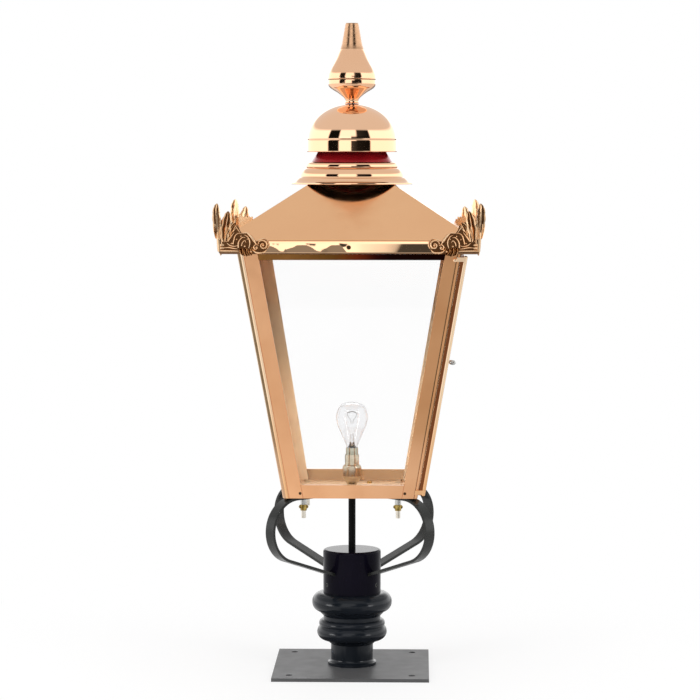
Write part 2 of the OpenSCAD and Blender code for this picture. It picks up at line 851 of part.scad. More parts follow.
module hinge_lugs() {
    color(bright_copper_colour) {
        lug(door_low);
        lug(door_top - lug_h);
    }
}

module hinge_rod() {
    color(steel_colour) along_hinge(door_low - 2, door_top + 1) circle(r = hinge_rod_r);
}

module at_knob() {
    translate(knob_at) rotate([0, 90 + lean, 0]) children();
}

module catch_knob() {
    shank_end = door_out + knob_reach - 2 * knob_r;
    color(steel_colour) at_knob() {
        translate([0, 0, tongue_out]) cylinder(r = knob_shaft_r, h = shank_end - tongue_out);
        translate([0, 0, door_out + slip_gap]) cylinder(r = knob_shaft_r + 2, h = 1.5);
        translate([0, 0, shank_end]) sphere(r = knob_r);
        translate([0, 0, shank_end]) cylinder(r = knob_r, h = knob_r);
        translate([0, 0, shank_end + knob_r]) sphere(r = knob_r);
    }
}

// The tongue hangs along the stile, unlocked, and turns behind the back post to lock
module catch_tongue() {
    color(steel_colour) at_knob() translate([0, 0, tongue_out - tongue_t]) {
        translate([0, -tongue_w / 2, 0]) cube([tongue_l - tongue_w / 2, tongue_w, tongue_t]);
        translate([tongue_l - tongue_w / 2, 0, 0]) cylinder(d = tongue_w, h = tongue_t);
        cylinder(d = tongue_w, h = tongue_t);
    }
}

// Eave and roof
module eave_bar(x0, x1, z0, z1) {
    for (k = all_faces) intersection() {
        rotate([0, 0, 90 * k]) translate([x0, -reach, z0]) cube([x1 - x0, 2 * reach, z1 - z0]);
        quarter(k);
    }
}

module soffit_frame() {
    color(copper_colour) eave_bar(soffit_open_w / 2, eave_half - eave_t, body_top, body_top + soffit_t);
}

module at_eave_screws() {
    for (k = all_faces) rotate([0, 0, 90 * k]) translate([eave_half, 0, body_top + eave_h / 2])
        rotate([0, 90, 0]) children();
}

module eave_band() {
    color(bright_copper_colour) difference() {
        eave_bar(eave_half - eave_t, eave_half, body_top, eave_top);
        at_eave_screws() translate([0, 0, -eave_t - cut]) cylinder(r = eave_screw_r / 2 + seat_gap,
            h = eave_t + 2 * cut);
    }
}

module eave_screws() {
    color(steel_colour) at_eave_screws() difference() {
        union() {
            translate([0, 0, -eave_t - 3]) cylinder(r = eave_screw_r / 2, h = eave_t + 3 + cut);
            translate([0, 0, seat_gap]) cylinder(r1 = eave_screw_r, r2 = eave_screw_r * 0.7, h = 2);
        }
        translate([-eave_screw_r, -0.4, 1.3]) cube([2 * eave_screw_r, 0.8, 2]);
    }
}

module roof_panels() {
    rise = roof_t / cos(roof_pitch);
    x0 = roof_open_w / 2;
    color(copper_colour) for (k = all_faces) intersection() {
        rotate([0, 0, 90 * k]) rotate([90, 0, 0]) linear_extrude(2 * reach, center = true) polygon([
            [x0, roof_z(x0) - rise], [eave_half - eave_t, roof_z(eave_half - eave_t) - rise],
            [eave_half - eave_t, eave_top], [eave_half, eave_top], [x0, roof_z(x0)]]);
        quarter(k);
    }
}

// Corner ears
// A pointed leaf, w wide and h high, with its foot at the origin
module leaf(w, h) {
    r = (h * h / 4 + w * w / 4) / w;
    intersection() {
        translate([w / 2 - r, h / 2]) circle(r = r);
        translate([r - w / 2, h / 2]) circle(r = r);
    }
}

// A point of the wing's outline: u runs from the corner along the eave, and v from the
// eave band's top, up to the body's top or down to the band's bottom
function wing_at(u, v) = [u * ear_wing_l, v * (v < 0 ? eave_h : ear_body_h)];
wing_outline = concat(
    [wing_at(0, 1), wing_at(0, -0.83), wing_at(0.43, -0.83)],
    smooth([wing_at(0.46, -1), wing_at(0.52, -1.13), wing_at(0.6, -1.11), wing_at(0.68, -1.04),
        wing_at(0.75, -0.87)], 3),
    smooth([wing_at(0.86, -0.87), wing_at(0.95, -0.6), wing_at(1, -0.2), wing_at(0.955, 0.04),
        wing_at(0.84, 0.04), wing_at(0.75, -0.09)], 3),
    smooth([wing_at(0.7, 0.1), wing_at(0.66, 0.25), wing_at(0.58, 0.42), wing_at(0.47, 0.43)], 3),
    smooth([wing_at(0.43, 0.6), wing_at(0.41, 0.8), wing_at(0.37, 0.97), wing_at(0.28, 1)], 3));

module ear_half() {
    out = eave_half + seat_gap;
    lean_out = atan(ear_curl / (side_leaf_h - side_leaf_z));
    // Wing on the right face, running from the corner towards the face's middle
    translate([out, out + ear_t, eave_top]) rotate([90, 0, -90]) translate([0, 0, -ear_t])
        linear_extrude(ear_t) polygon(wing_outline);
    // Side leaf, curling outwards, and its lobe
    translate([out, out + ear_t - side_leaf_in, eave_top + side_leaf_z]) rotate([0, lean_out, 0])
        rotate([90, 0, -90]) translate([0, 0, -ear_t]) linear_extrude(ear_t) rotate(-side_leaf_turn) {
            leaf(side_leaf_w, (side_leaf_h - side_leaf_z) / cos(side_leaf_turn) / cos(lean_out));
            rotate(-lobe_turn) leaf(lobe_w, lobe_l);
        }
}

// Height of the middle leaf's foot above the eave band
ear_leaf_z = 4;

module ear(angle) {
    color(bright_copper_colour) rotate([0, 0, angle]) {
        ear_half();
        mirror([1, -1, 0]) ear_half();
        rotate([0, 0, 45]) translate([eave_half * sqrt(2) + 0.2 * ear_t, 0, eave_top + ear_leaf_z])
            rotate([0, ear_lean, 0]) rotate([90, 0, 90]) translate([0, 0, -ear_t])
                linear_extrude(ear_t) leaf(ear_leaf_w, (ear_leaf_h - ear_leaf_z) / cos(ear_lean));
    }
}

module ear_back_right() ear(0);
module ear_back_left() ear(90);
module ear_front_left() ear(180);
module ear_front_right() ear(270);

// Vent and cowl
// A point of the skirt's outline: u runs from the rim inwards, v from the rim upwards
function skirt_at(u, v) = [skirt_r - u * (skirt_r - skirt_top_r), skirt_z + v * skirt_h];
ring_lip = 0.4;
skirt_outline = concat(
    [skirt_at(0, 0), skirt_at(0, 0.075)],
    smooth([skirt_at(0.045, 0.109), skirt_at(0.227, 0.21), skirt_at(0.427, 0.306),
        skirt_at(0.509, 0.408)], 3),
    smooth([skirt_at(0.49, 0.429), skirt_at(0.536, 0.544), skirt_at(0.636, 0.653),
        skirt_at(0.745, 0.7)], 3),
    smooth([skirt_at(0.732, 0.721), skirt_at(0.79, 0.83), skirt_at(0.9, 0.918),
        skirt_at(1, 0.952)], 3),
    [[ring_foot_r + ring_lip + 1, skirt_at(0, 0.966).y], [ring_foot_r + ring_lip, skirt_top],
        [ring_foot_r - 4 * sheet_t, skirt_top]]);

module vent_skirt() {
    color(copper_colour) lathe(shell(skirt_outline, sheet_t));
}

module vent_ring() {
    throat = collar_foot_r - 5;
    low = skirt_top + seat_gap;
    color(bright_copper_colour) lathe([[ring_foot_r, low], [ring_foot_r, low + 2], [ring_crown_r + 1, ring_top - 2],
        [ring_crown_r, ring_top], [throat, ring_top], [throat, ring_top - sheet_t],
        [ring_crown_r - sheet_t, ring_top - sheet_t], [ring_foot_r - sheet_t, low + 2],
        [ring_foot_r - sheet_t, low]]);
}

module vent_collar() {
    low = ring_top + seat_gap;
    color(red_copper_colour) lathe([[collar_foot_r, low], [collar_top_r, vent_collar_top], [collar_top_r, throat_top],
        [collar_top_r - sheet_t, throat_top], [collar_top_r - sheet_t, vent_collar_top],
        [collar_foot_r - sheet_t - 0.5, low]]);
}

module cowl_straps() {
    span = cowl_r - sheet_t - slip_gap;
    low = throat_top + seat_gap;
    color(brass_colour) difference() {
        intersection() {
            union() {
                for (a = [30, 150, 270]) rotate([0, 0, a]) translate([0, -strap_w / 2, low])
                    cube([cowl_r, strap_w, strap_t]);
                translate([0, 0, low]) cylinder(r = strap_hub_r, h = strap_t);
            }
            translate([0, 0, low - cut]) cylinder(r = span, h = strap_t + 2 * cut);
        }
        translate([0, 0, low - cut]) cylinder(r = rod_r + pin_gap, h = strap_t + 2 * cut);
    }
}

module cowl_band() {
    color(bright_copper_colour) translate([0, 0, band_z]) difference() {
        cylinder(r = cowl_r, h = band_h);
        translate([0, 0, -cut]) cylinder(r = cowl_r - sheet_t, h = band_h + 2 * cut);
    }
}

module cowl_dome() {
    foot = band_top + dome_foot_h;
    color(bright_copper_colour) lathe(shell(concat([[cowl_r, band_top + seat_gap]],
        dome_arc(cowl_r, dome_h - dome_foot_h, foot, rod_r + pin_gap, 16)), sheet_t));
}

module finial_rod() {
    color(steel_colour) translate([0, 0, rod_low]) cylinder(r = rod_r, h = rod_top - rod_low);
}

module finial_nut() {
    color(steel_colour) translate([0, 0, throat_top - rod_nut_h]) difference() {
        cylinder(r = 7.5, h = rod_nut_h, $fn = 6);
        translate([0, 0, -cut]) cylinder(r = rod_r + pin_gap, h = rod_nut_h + 2 * cut);
    }
}

// Finial: outlines of its two spun halves
neck_top = finial_z + finial_low_h * 0.17;
finial_low_outline = concat(
    [[finial_neck_r + 1.6, finial_z], [finial_neck_r + 1.6, finial_z + 1.6],
        [finial_neck_r, finial_z + 2.4]],
    smooth([[finial_neck_r, neck_top], [finial_neck_r + 5, finial_z + finial_low_h * 0.33],
        [finial_r * 0.65, finial_z + finial_low_h * 0.51], [finial_r * 0.86, finial_z + finial_low_h * 0.68],
        [finial_r * 0.97, finial_z + finial_low_h * 0.84], [finial_r - 0.6, finial_seam]]));
finial_high_outline = concat(
    [[finial_r, finial_seam + seat_gap], [finial_r, finial_seam + 2]],
    smooth([[finial_r - 1.4, finial_seam + 3.2], [finial_r - 1.6, finial_seam + finial_high_h * 0.08],
        [finial_r - 3.6, finial_seam + finial_high_h * 0.14], [finial_r * 0.82, finial_seam + finial_high_h * 0.22],
        [finial_r * 0.66, finial_seam + finial_high_h * 0.34], [spire_r + 3.6, finial_seam + finial_high_h * 0.5],
        [spire_r + 0.6, finial_seam + finial_high_h * 0.57]]),
    smooth([[spire_r, finial_seam + finial_high_h * 0.58], [spire_r - 1.6, finial_seam + finial_high_h * 0.69],
        [(spire_r + tip_r) / 2, finial_seam + finial_high_h * 0.81], [tip_r + 1.4, finial_seam + finial_high_h * 0.94],
        [tip_r - 0.4, finial_top - 1.2]]),
    [[tip_r - 2, finial_top]]);

module finial_lower() {
    bore = rod_r + pin_gap;
    inside = [for (i = [len(finial_low_outline) - 1 : -1 : 0])
        if (finial_low_outline[i].x > finial_neck_r + 3)
            [finial_low_outline[i].x - sheet_t - 0.4, finial_low_outline[i].y + (finial_low_outline[i].x
                > finial_r - 1 ? 0 : 1)]];
    color(bright_copper_colour) lathe(concat(finial_low_outline, inside,
        [[bore, neck_top + 5], [bore, finial_z]]));
}

module finial_upper() {
    color(bright_copper_colour) lathe(concat([for (p = finial_high_outline) p], [[0, finial_top]],
        [[0, finial_top - 4]], [[tip_r - 3, finial_top - 4], [spire_r - 3, finial_seam + finial_high_h * 0.56],
        [finial_r * 0.66 - 3, finial_seam + finial_high_h * 0.3], [finial_r - 5, finial_seam + finial_high_h * 0.1],
        [finial_r - 4, finial_seam + seat_gap]]));
}

// Lamp
module lampholder() {
    floor_of_barrel = holder_top - 2;
    bore_low = floor_of_barrel - plunger_l - plunger_travel - 1;
    color(steel_colour) difference() {
        union() {
            lathe([[0, holder_z], [8.4, holder_z], [9, holder_z + 3], [13, holder_z + 7],
                [holder_r - 0.8, holder_z + 13], [holder_r, holder_z + 17], [holder_r, holder_top - 5],
                [holder_r - 1.4, holder_top - 2], [barrel_r + 0.8, holder_top], [0, holder_top]]);
            translate([0, 0, holder_top - cut]) cylinder(r = barrel_r, h = barrel_h + cut);
        }
        translate([0, 0, floor_of_barrel]) cylinder(r = cap_r + slip_gap, h = barrel_h + 3);
        translate([0, 0, holder_z - cut]) cylinder(r = conduit_r + pin_gap, h = 6);
        for (side = [-1, 1]) translate([0, side * plunger_spread, bore_low])
            cylinder(r = plunger_r + pin_gap, h = plunger_l + plunger_travel + 2);
        // Bayonet slots: down from the rim, then around to the seat
        for (turn = [0, 180]) rotate([0, 0, turn]) {
            rotate([0, 0, bulb_turn]) translate([0, -pin_r - slip_gap, pin_z - pin_r - slip_gap])
                cube([barrel_r + cut, 2 * (pin_r + slip_gap), barrel_h]);
            rotate([0, 0, -slot_ends]) rotate_extrude(angle = bulb_turn + 2 * slot_ends)
                translate([cap_r - 1, pin_z - pin_r - slip_gap]) square([4, 2 * (pin_r + slip_gap)]);
        }
    }
}

module contact_plungers() {
    color(brass_colour) for (side = [-1, 1])
        translate([0, side * plunger_spread, cap_z - slip_gap - plunger_l]) cylinder(r = plunger_r, h = plunger_l);
}

module bulb_cap() {
    wall = 0.8;
    color(steel_colour) {
        difference() {
            translate([0, 0, cap_z]) cylinder(r = cap_r, h = cap_l);
            translate([0, 0, cap_z + 3]) cylinder(r = cap_r - wall, h = cap_l);
        }
        for (side = [-1, 1]) translate([side * (cap_r - 0.5), 0, pin_z]) rotate([0, 90 * side, 0])
            cylinder(r = pin_r, h = 1.9);
    }
}

bulb_outline = smooth([[cap_r - 1.2, cap_top - 8], [cap_r - 1.2, cap_top + 0.6], [cap_r + 0.6, cap_top + bulb_h * 0.08],
    [cap_r + 5.5, cap_top + bulb_h * 0.21], [bulb_r - 7.6, cap_top + bulb_h * 0.34],
    [bulb_r - 2.6, cap_top + bulb_h * 0.48], [bulb_r, cap_top + bulb_h * 0.65],
    [bulb_r - 1.6, cap_top + bulb_h * 0.79], [bulb_r * 0.78, cap_top + bulb_h * 0.91],
    [bulb_r * 0.42, bulb_top - 1.6], [0, bulb_top]]);

module bulb_glass() {
    inner = [for (i = [len(bulb_outline) - 1 : -1 : 0]) [max(bulb_outline[i].x - bulb_wall, 0),
        bulb_outline[i].y - (i == 0 ? 0 : bulb_wall * max(0, (i - 24) / 16))]];
    color(glass_colour) lathe(concat(bulb_outline, inner));
}

// The glass stem, its flare in the neck, two lead wires and the filament between them
module bulb_stem() {
    flare_z = cap_top - 4;
    pinch_z = cap_top + bulb_h * 0.3;
    filament_z = cap_top + bulb_h * 0.55;
    spread = 11;
    color(glass_colour) {
        lathe([[0, flare_z], [cap_r - 2.8, flare_z], [cap_r - 3.4, flare_z + 4], [4.2, flare_z + 14],
            [3, pinch_z - 4], [2.4, pinch_z], [0, pinch_z]]);
    }
    color(steel_colour) {
        for (side = [-1, 1]) translate([side * 1.4, 0, pinch_z - 2])
            rotate([0, side * atan((spread - 1.4) / (filament_z - pinch_z + 2)), 0])
                cylinder(r = 0.45, h = norm([spread - 1.4, filament_z - pinch_z + 2]));
        rotate([0, 0, 0]) translate([-spread, 0, filament_z]) rotate([0, 90, 0])
            cylinder(r = 0.6, h = 2 * spread);
    }
}

module earth_screw() {
    color(brass_colour) translate([earth_at.x, earth_at.y, 0]) {
        translate([0, 0, lantern_z - 2]) cylinder(r = 2, h = floor_t + 3);
        translate([0, 0, floor_top + seat_gap]) cylinder(r = 4.5, h = 3);
    }
}

base_plate();
column();
frog_socket();
socket_screws();
arm_front_left();
arm_front_right();
arm_back_left();
arm_back_right();
conduit();
conduit_nut();
fixing_studs();
spacer_collars();
wing_nuts();
floor_plate();
sill_rails();
post_front_left();
post_front_right();
post_back_left();
post_back_right();
head_rails();
glass_front();
glass_back();
glass_left();
glazing_clips();
frame_rivets();
door_stile_hinge();
door_stile_catch();
door_rail_top();
door_rail_bottom();
door_glass();
door_clips();
hinge_tube();
hinge_lugs();
hinge_rod();
catch_knob();
catch_tongue();
soffit_frame();
eave_band();
eave_screws();
roof_panels();
ear_front_left();
ear_front_right();
ear_back_left();
ear_back_right();
vent_skirt();
vent_ring();
vent_collar();
cowl_straps();
cowl_band();
cowl_dome();
finial_rod();
finial_nut();
finial_lower();
finial_upper();
lampholder();
contact_plungers();
bulb_cap();
bulb_glass();
bulb_stem();
earth_screw();
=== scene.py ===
import math
import bmesh
import bpy
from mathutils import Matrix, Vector

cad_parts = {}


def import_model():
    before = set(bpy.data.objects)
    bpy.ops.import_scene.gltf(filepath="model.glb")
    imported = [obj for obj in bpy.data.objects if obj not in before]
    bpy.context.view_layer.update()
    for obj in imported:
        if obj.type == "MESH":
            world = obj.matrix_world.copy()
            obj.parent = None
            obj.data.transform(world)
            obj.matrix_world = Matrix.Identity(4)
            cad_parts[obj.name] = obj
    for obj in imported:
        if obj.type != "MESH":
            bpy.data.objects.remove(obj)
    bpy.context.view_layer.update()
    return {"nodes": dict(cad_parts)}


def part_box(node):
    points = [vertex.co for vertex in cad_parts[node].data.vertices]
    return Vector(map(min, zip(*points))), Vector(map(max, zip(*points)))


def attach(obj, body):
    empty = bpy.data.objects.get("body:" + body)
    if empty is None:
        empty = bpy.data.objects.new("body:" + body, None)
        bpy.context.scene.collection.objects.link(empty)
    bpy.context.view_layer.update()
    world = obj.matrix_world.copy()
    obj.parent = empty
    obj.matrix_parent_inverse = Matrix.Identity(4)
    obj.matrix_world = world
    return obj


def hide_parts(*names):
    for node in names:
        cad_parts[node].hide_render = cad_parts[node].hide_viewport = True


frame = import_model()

nodes = frame["nodes"]
scene = bpy.context.scene

# Pieces are drawn in millimetres, while tints, the stage and the camera are in metres
MM = 0.001
# How far the glazed sides lean out for each millimetre of height
TAPER = 0.172093


def rgba(colour):
    """A colour without transparency, from its three parts or from one grey level."""
    return (*colour, 1) if isinstance(colour, tuple) else (colour, colour, colour, 1)


def even(start, end, steps):
    """Evenly spaced values from start to end, both included."""
    return [start + (end - start) * i / steps for i in range(steps + 1)]


def circle(count):
    """The angles of points spaced evenly round a circle."""
    return [2 * math.pi * i / count for i in range(count)]


class Tree:
    """The shader nodes of a material or a world, with short ways to make and feed them."""

    def __init__(self, owner):
        owner.use_nodes = True
        self.nodes = owner.node_tree.nodes
        self.links = owner.node_tree.links

    def feed(self, node, inputs):
        """Gives a node's inputs their values, or the outputs that drive them."""
        for key, value in inputs.items():
            if isinstance(value, bpy.types.NodeSocket):
                self.links.new(value, node.inputs[key])
            else:
                node.inputs[key].default_value = value
        return node.outputs

    def new(self, kind, inputs, **settings):
        """Makes a node, with its settings before its inputs, and gives its outputs."""
        node = self.nodes.new("ShaderNode" + kind)
        for name, value in settings.items():
            setattr(node, name, value)
        return self.feed(node, inputs)

    def coordinate(self, kind):
        """A place or a direction, such as Object for the place in the object's own frame."""
        return self.new("TexCoord", {})[kind]

    def split(self, vector):
        """The X, Y and Z of a vector."""
        return self.new("SeparateXYZ", {0: vector})

    def ray(self, kind):
        """1 for rays of one kind, such as Camera or Glossy, and 0 for others."""
        return self.new("LightPath", {})["Is " + kind + " Ray"]

    def seen(self):
        """1 for what the camera sees, also through the glass."""
        return self.calculate("MAXIMUM", self.ray("Camera"), self.ray("Transmission"))

    def noise(self, scale, detail=2.0):
        """Soft noise that is fixed to the object."""
        inputs = {"Vector": self.coordinate("Object"), "Scale": scale, "Detail": detail}
        return self.new("TexNoise", inputs)["Fac"]

    def calculate(self, operation, *values, clamp=False):
        """The result of one sum, held between 0 and 1 if clamped."""
        return self.new("Math", dict(enumerate(values)), operation=operation, use_clamp=clamp)[0]

    def remap(self, value, start, end, low=0.0, high=1.0, ease="LINEAR"):
        """Turns values from start to end into values from low to high."""
        inputs = {"Value": value, "From Min": start, "From Max": end, "To Min": low, "To Max": high}
        return self.new("MapRange", inputs, interpolation_type=ease)["Result"]

    def mix(self, factor, a, b, blend="MIX"):
        """Colour a where the factor is 0, and b blended over it where it is 1."""
        inputs = {"Factor": factor, "A": a, "B": b}
        return self.new("Mix", inputs, data_type="RGBA", blend_type=blend)["Result"]

    def mix_shaders(self, factor, a, b):
        """Shader a where the factor is 0, and b where it is 1."""
        return self.new("MixShader", {"Fac": factor, 1: a, 2: b})[0]

    def ramp(self, value, stops, lo, hi):
        """The colour that belongs to a value from lo to hi, by stops of (value, colour or grey level)."""
        node = self.nodes.new("ShaderNodeValToRGB")
        elements = node.color_ramp.elements
        while len(elements) > 1:
            elements.remove(elements[-1])
        elements[0].position = (stops[0][0] - lo) / (hi - lo)
        elements[0].color = rgba(stops[0][1])
        for place, colour in stops[1:]:
            elements.new((place - lo) / (hi - lo)).color = rgba(colour)
        return self.feed(node, {"Fac": self.remap(value, lo, hi)})["Color"]

    def tint(self, colour, amount=1.0):
        """Multiplies the colour that a material already has by another."""
        surface = self.nodes["Principled BSDF"]
        base = surface.inputs["Base Color"].links[0].from_socket
        self.feed(surface, {"Base Color": self.mix(amount, base, colour, "MULTIPLY")})


# Materials: depths of the wave and the grain in metres, and the spans of noise over which they vary
WAVE_DEPTH = 0.01
GRAIN_DEPTH = 0.0003
PATCH_START, PATCH_END = 0.35, 0.65
RUB_START, RUB_END = 0.3, 0.7
RUB_FINER = 7
SECOND_SHADE = 0.86
# How squarely a face has to look inwards to take the painted inside shade: from none of it to all of it
INWARD_START, INWARD_END = -0.02, -0.05


def shader(name, base, metallic, rough, second=None, blotch=6.0, rough_var=0.35, wave=0.0, wave_scale=3.0,
           grain=0.0, grain_scale=400.0, spec=0.5):
    """A material whose colour and gloss vary in soft patches, with a gentle wave and a fine grain."""
    material = bpy.data.materials.new(name)
    tree = Tree(material)
    second = second or tuple(c * SECOND_SHADE for c in base)
    patches = tree.remap(tree.noise(blotch, 3), PATCH_START, PATCH_END)
    rub = tree.noise(blotch * RUB_FINER, 4)
    surface = {
        "Metallic": metallic,
        "Specular IOR Level": spec,
        "Base Color": tree.mix(patches, rgba(second), rgba(base)),
        "Roughness": tree.remap(rub, RUB_START, RUB_END, rough * (1 - rough_var), rough * (1 + rough_var)),
    }
    for scale, strength, depth in ((wave_scale, wave, WAVE_DEPTH), (grain_scale, grain, GRAIN_DEPTH)):
        if strength:
            bump = {"Strength": strength, "Distance": depth, "Height": tree.noise(scale, 1.5)}
            if "Normal" in surface:
                bump["Normal"] = surface["Normal"]
            surface["Normal"] = tree.new("Bump", bump)["Normal"]
    tree.feed(tree.nodes["Principled BSDF"], surface)
    return material


def glass_shader(name, tint, ior=1.46):
    """Clear glass that lets light through in shadow rays."""
    material = bpy.data.materials.new(name)
    tree = Tree(material)
    cloud = tree.noise(9)
    paler = tuple(min(1, c * 1.015) for c in tint)
    glass = tree.feed(tree.nodes["Principled BSDF"], {
        "Transmission Weight": 1.0,
        "IOR": ior,
        "Base Color": tree.mix(cloud, rgba(tint), rgba(paler)),
        "Roughness": tree.remap(cloud, 0, 1, 0, 0.01),
    })[0]
    clear = tree.new("BsdfTransparent", {})[0]
    output = tree.nodes["Material Output"]
    tree.feed(output, {"Surface": tree.mix_shaders(tree.ray("Shadow"), glass, clear)})
    return material


def tint_along(material, axis, lo, hi, tints, kind="Object"):
    """Tints a material by place along an axis, or with the kind Normal by how its faces turn along it."""
    tree = Tree(material)
    tree.tint(tree.ramp(tree.split(tree.coordinate(kind))[axis], tints, lo, hi))


def paint_inside_shade(material, colour):
    """Paints shade on the faces that look in towards the middle of the lantern, by darkening their colour."""
    tree = Tree(material)
    level = tree.new("VectorMath", {0: tree.coordinate("Object"), 1: (1, 1, 0)}, operation="MULTIPLY")
    both = {0: level["Vector"], 1: tree.coordinate("Normal")}
    facing = tree.new("VectorMath", both, operation="DOT_PRODUCT")["Value"]
    tree.tint(rgba(colour), tree.remap(facing, INWARD_END, INWARD_START, 1, 0))


# Sheet copper that is polished, and the same sheet where it is dull
POLISHED = {"base": (0.80, 0.44, 0.235), "second": (0.72, 0.37, 0.185),
            "metallic": 1, "rough": 0.13, "blotch": 9}
DULL = {"base": (0.90, 0.61, 0.36), "second": (0.84, 0.54, 0.31),
        "metallic": 0.6, "rough": 0.45, "blotch": 12}
COPPER = shader("copper_frame", **POLISHED, wave=0.05, wave_scale=6)
# Copies of the polished copper that take painted shade: the sill on its inward faces, the posts on the door's
# side above its foot, and the stile's front edge
SILL = shader("copper_sill", **POLISHED, wave=0.05, wave_scale=6)
SHADED = shader("copper_shaded", **POLISHED, wave=0.05, wave_scale=6)
STILE = shader("copper_stile", **POLISHED)
INNER = shader("copper_inner", **DULL)
# The posts' inside and the glazing clips are painted darker towards the eave as shade
POST_INNER = shader("copper_post_inner", **DULL)
# Paler copper as a painted highlight on the posts' beads, the hinge and the lug screw
EDGE = shader("copper_edge_highlight", (0.97, 0.73, 0.50), 1, 0.12, (0.94, 0.68, 0.45), 30)
# Darker copper for seams, also painted on the posts' rounded corners, grooves and steps as shade
SEAM_AND_SHADE = shader("copper_seam_and_shade", (0.60, 0.37, 0.22), 1, 0.28, (0.46, 0.27, 0.15), 30)
# Near black copper as painted shade on the head rails under the eave
RAILS_SHADE = shader("copper_rails_shade", (0.28, 0.128, 0.034), 1, 0.2, (0.25, 0.11, 0.03), 14)

# Roof, eave, spun parts and cast ears
ROOF = shader("copper_roof", (0.89, 0.505, 0.262), 1, 0.16, (0.87, 0.485, 0.25), wave=0.02, wave_scale=2.2)
EAVE = shader("copper_eave", (0.94, 0.61, 0.375), 1, 0.03, (0.92, 0.585, 0.35), wave=0.02, wave_scale=7)
# Near black copper as painted shade on the eave's underside
UNDERSIDE_SHADE = shader("copper_underside_shade", (0.15, 0.068, 0.032), 1, 0.2, (0.10, 0.042, 0.018), 14)
SKIRT = shader("copper_spun", (0.93, 0.565, 0.345), 1, 0.05, (0.91, 0.54, 0.32), wave=0.02)
BRIGHT = shader("copper_bright", (0.94, 0.585, 0.375), 1, 0.035, (0.92, 0.565, 0.35), wave=0.02, wave_scale=5)
FINIAL = shader("copper_finial", (0.92, 0.56, 0.345), 1, 0.10, (0.90, 0.53, 0.32), 14,
                wave=0.05, wave_scale=16)
# Rougher copper above the finial's shoulder, painted darker as shade
NECK = shader("copper_brushed_and_shaded", (0.58, 0.35, 0.205), 1, 0.28, (0.53, 0.31, 0.18), 30,
              wave=0.04, wave_scale=20)
# Deep red as a painted reflection of the copper round the collar
RED_REFLECTION = shader("copper_red_reflection", (0.34, 0.009, 0.013), 0.35, 0.2, (0.27, 0.006, 0.010), 18, spec=0.25)
EARS = shader("copper_cast", (0.95, 0.67, 0.42), 1, 0.17, (0.84, 0.52, 0.28), 45, grain=0.10)
# Dark copper as painted shade in the ears' grooves and on their plates behind the ornament
RECESS_SHADE = shader("copper_recess_shade", (0.17, 0.075, 0.028), 1, 0.34, (0.11, 0.045, 0.016), 60, grain=0.2)
# Near black as painted shade inside the spun shells and on the straps inside the cowl
INSIDE_SHADE = shader("copper_inside_shade", (0.012, 0.009, 0.008), 0.3, 0.5, blotch=30)

# Fittings
BRONZE = shader("dark_bronze", (0.10, 0.055, 0.028), 1, 0.3, (0.06, 0.04, 0.02), 90)
BRASS = shader("brass", (0.60, 0.43, 0.13), 1, 0.13, (0.20, 0.13, 0.03), 170)
STEEL = shader("steel", (0.62, 0.62, 0.60), 1, 0.22, (0.52, 0.52, 0.5), 90)
STUD = shader("bright_steel", (0.86, 0.80, 0.70), 1, 0.12, (0.76, 0.70, 0.60), 90)
HOLDER = shader("holder", (0.66, 0.58, 0.45), 1, 0.16, (0.56, 0.48, 0.35), 60)
CAP = shader("cap_metal", (0.52, 0.50, 0.40), 1, 0.14, (0.40, 0.38, 0.29), 90)
WIRE = shader("wire", (0.30, 0.28, 0.26), 1, 0.3, blotch=200)

# Black iron
BLACK = shader("black_paint", (0.010, 0.011, 0.010), 0, 0.24, (0.014, 0.015, 0.013), 20,
               grain=0.02, grain_scale=260, spec=0.36)
CAST = shader("black_casting", (0.006, 0.008, 0.011), 0, 0.17, (0.009, 0.011, 0.015), 16, 0.12,
              grain=0.02, grain_scale=160, spec=0.2)
SOCKET = shader("black_socket", (0.003, 0.0025, 0.007), 0, 0.14, (0.005, 0.004, 0.009), 14, 0.1, spec=0.05)
SLEEVE = shader("black_sleeve", (0.002, 0.002, 0.002), 0, 0.35, (0.003, 0.003, 0.003), 40, spec=0.08)
PLATE = shader("plate_paint", (0.095, 0.095, 0.097), 0, 0.42, (0.085, 0.085, 0.087), 5, 0.08, spec=0.2)

# The panes are thin, so their index is low and they bend and mirror little
GLASS = glass_shader("pane_glass", (0.985, 0.985, 0.985), ior=1.2)
BULB = glass_shader("bulb_glass_clear", (0.95, 0.95, 0.955))

# Painted shade and painted highlight on the copper, by height, place or the way its faces look
# The sill's inward faces are painted darker as shade inside the lantern
paint_inside_shade(SILL, (0.64, 0.62, 0.52))
# The painted highlight on the edge strips is dimmer and warmer near the sill, and the seams are painted
# darker above it as shade in the folds
tint_along(EDGE, "Z", 0.3, 0.8, [(0.335, (0.86, 0.66, 0.48)), (0.44, (0.93, 0.80, 0.68)), (0.50, (1, 1, 1))])
tint_along(SEAM_AND_SHADE, "Z", 0.3, 1.2, [(0.37, (1, 1, 1)), (0.45, (0.43, 0.46, 0.41))])
# The head rails are painted darker towards one end, as shade under the eave, and the stile's thin front edge
# is painted dark as a painted reflection
tint_along(RAILS_SHADE, "X", -0.2, 0.2, [(-0.10, (1, 1, 1)), (-0.03, (0.62, 0.58, 0.42)), (0.012, (0.6, 0.2, 0.2)),
                                   (0.045, (0.12, 0.03, 0.08)), (0.07, (0.04, 0.02, 0.05))])
tint_along(STILE, "Y", -1, 1, [(-0.9, (0.29, 0.18, 0.12)), (-0.6, (1, 1, 1))], "Normal")
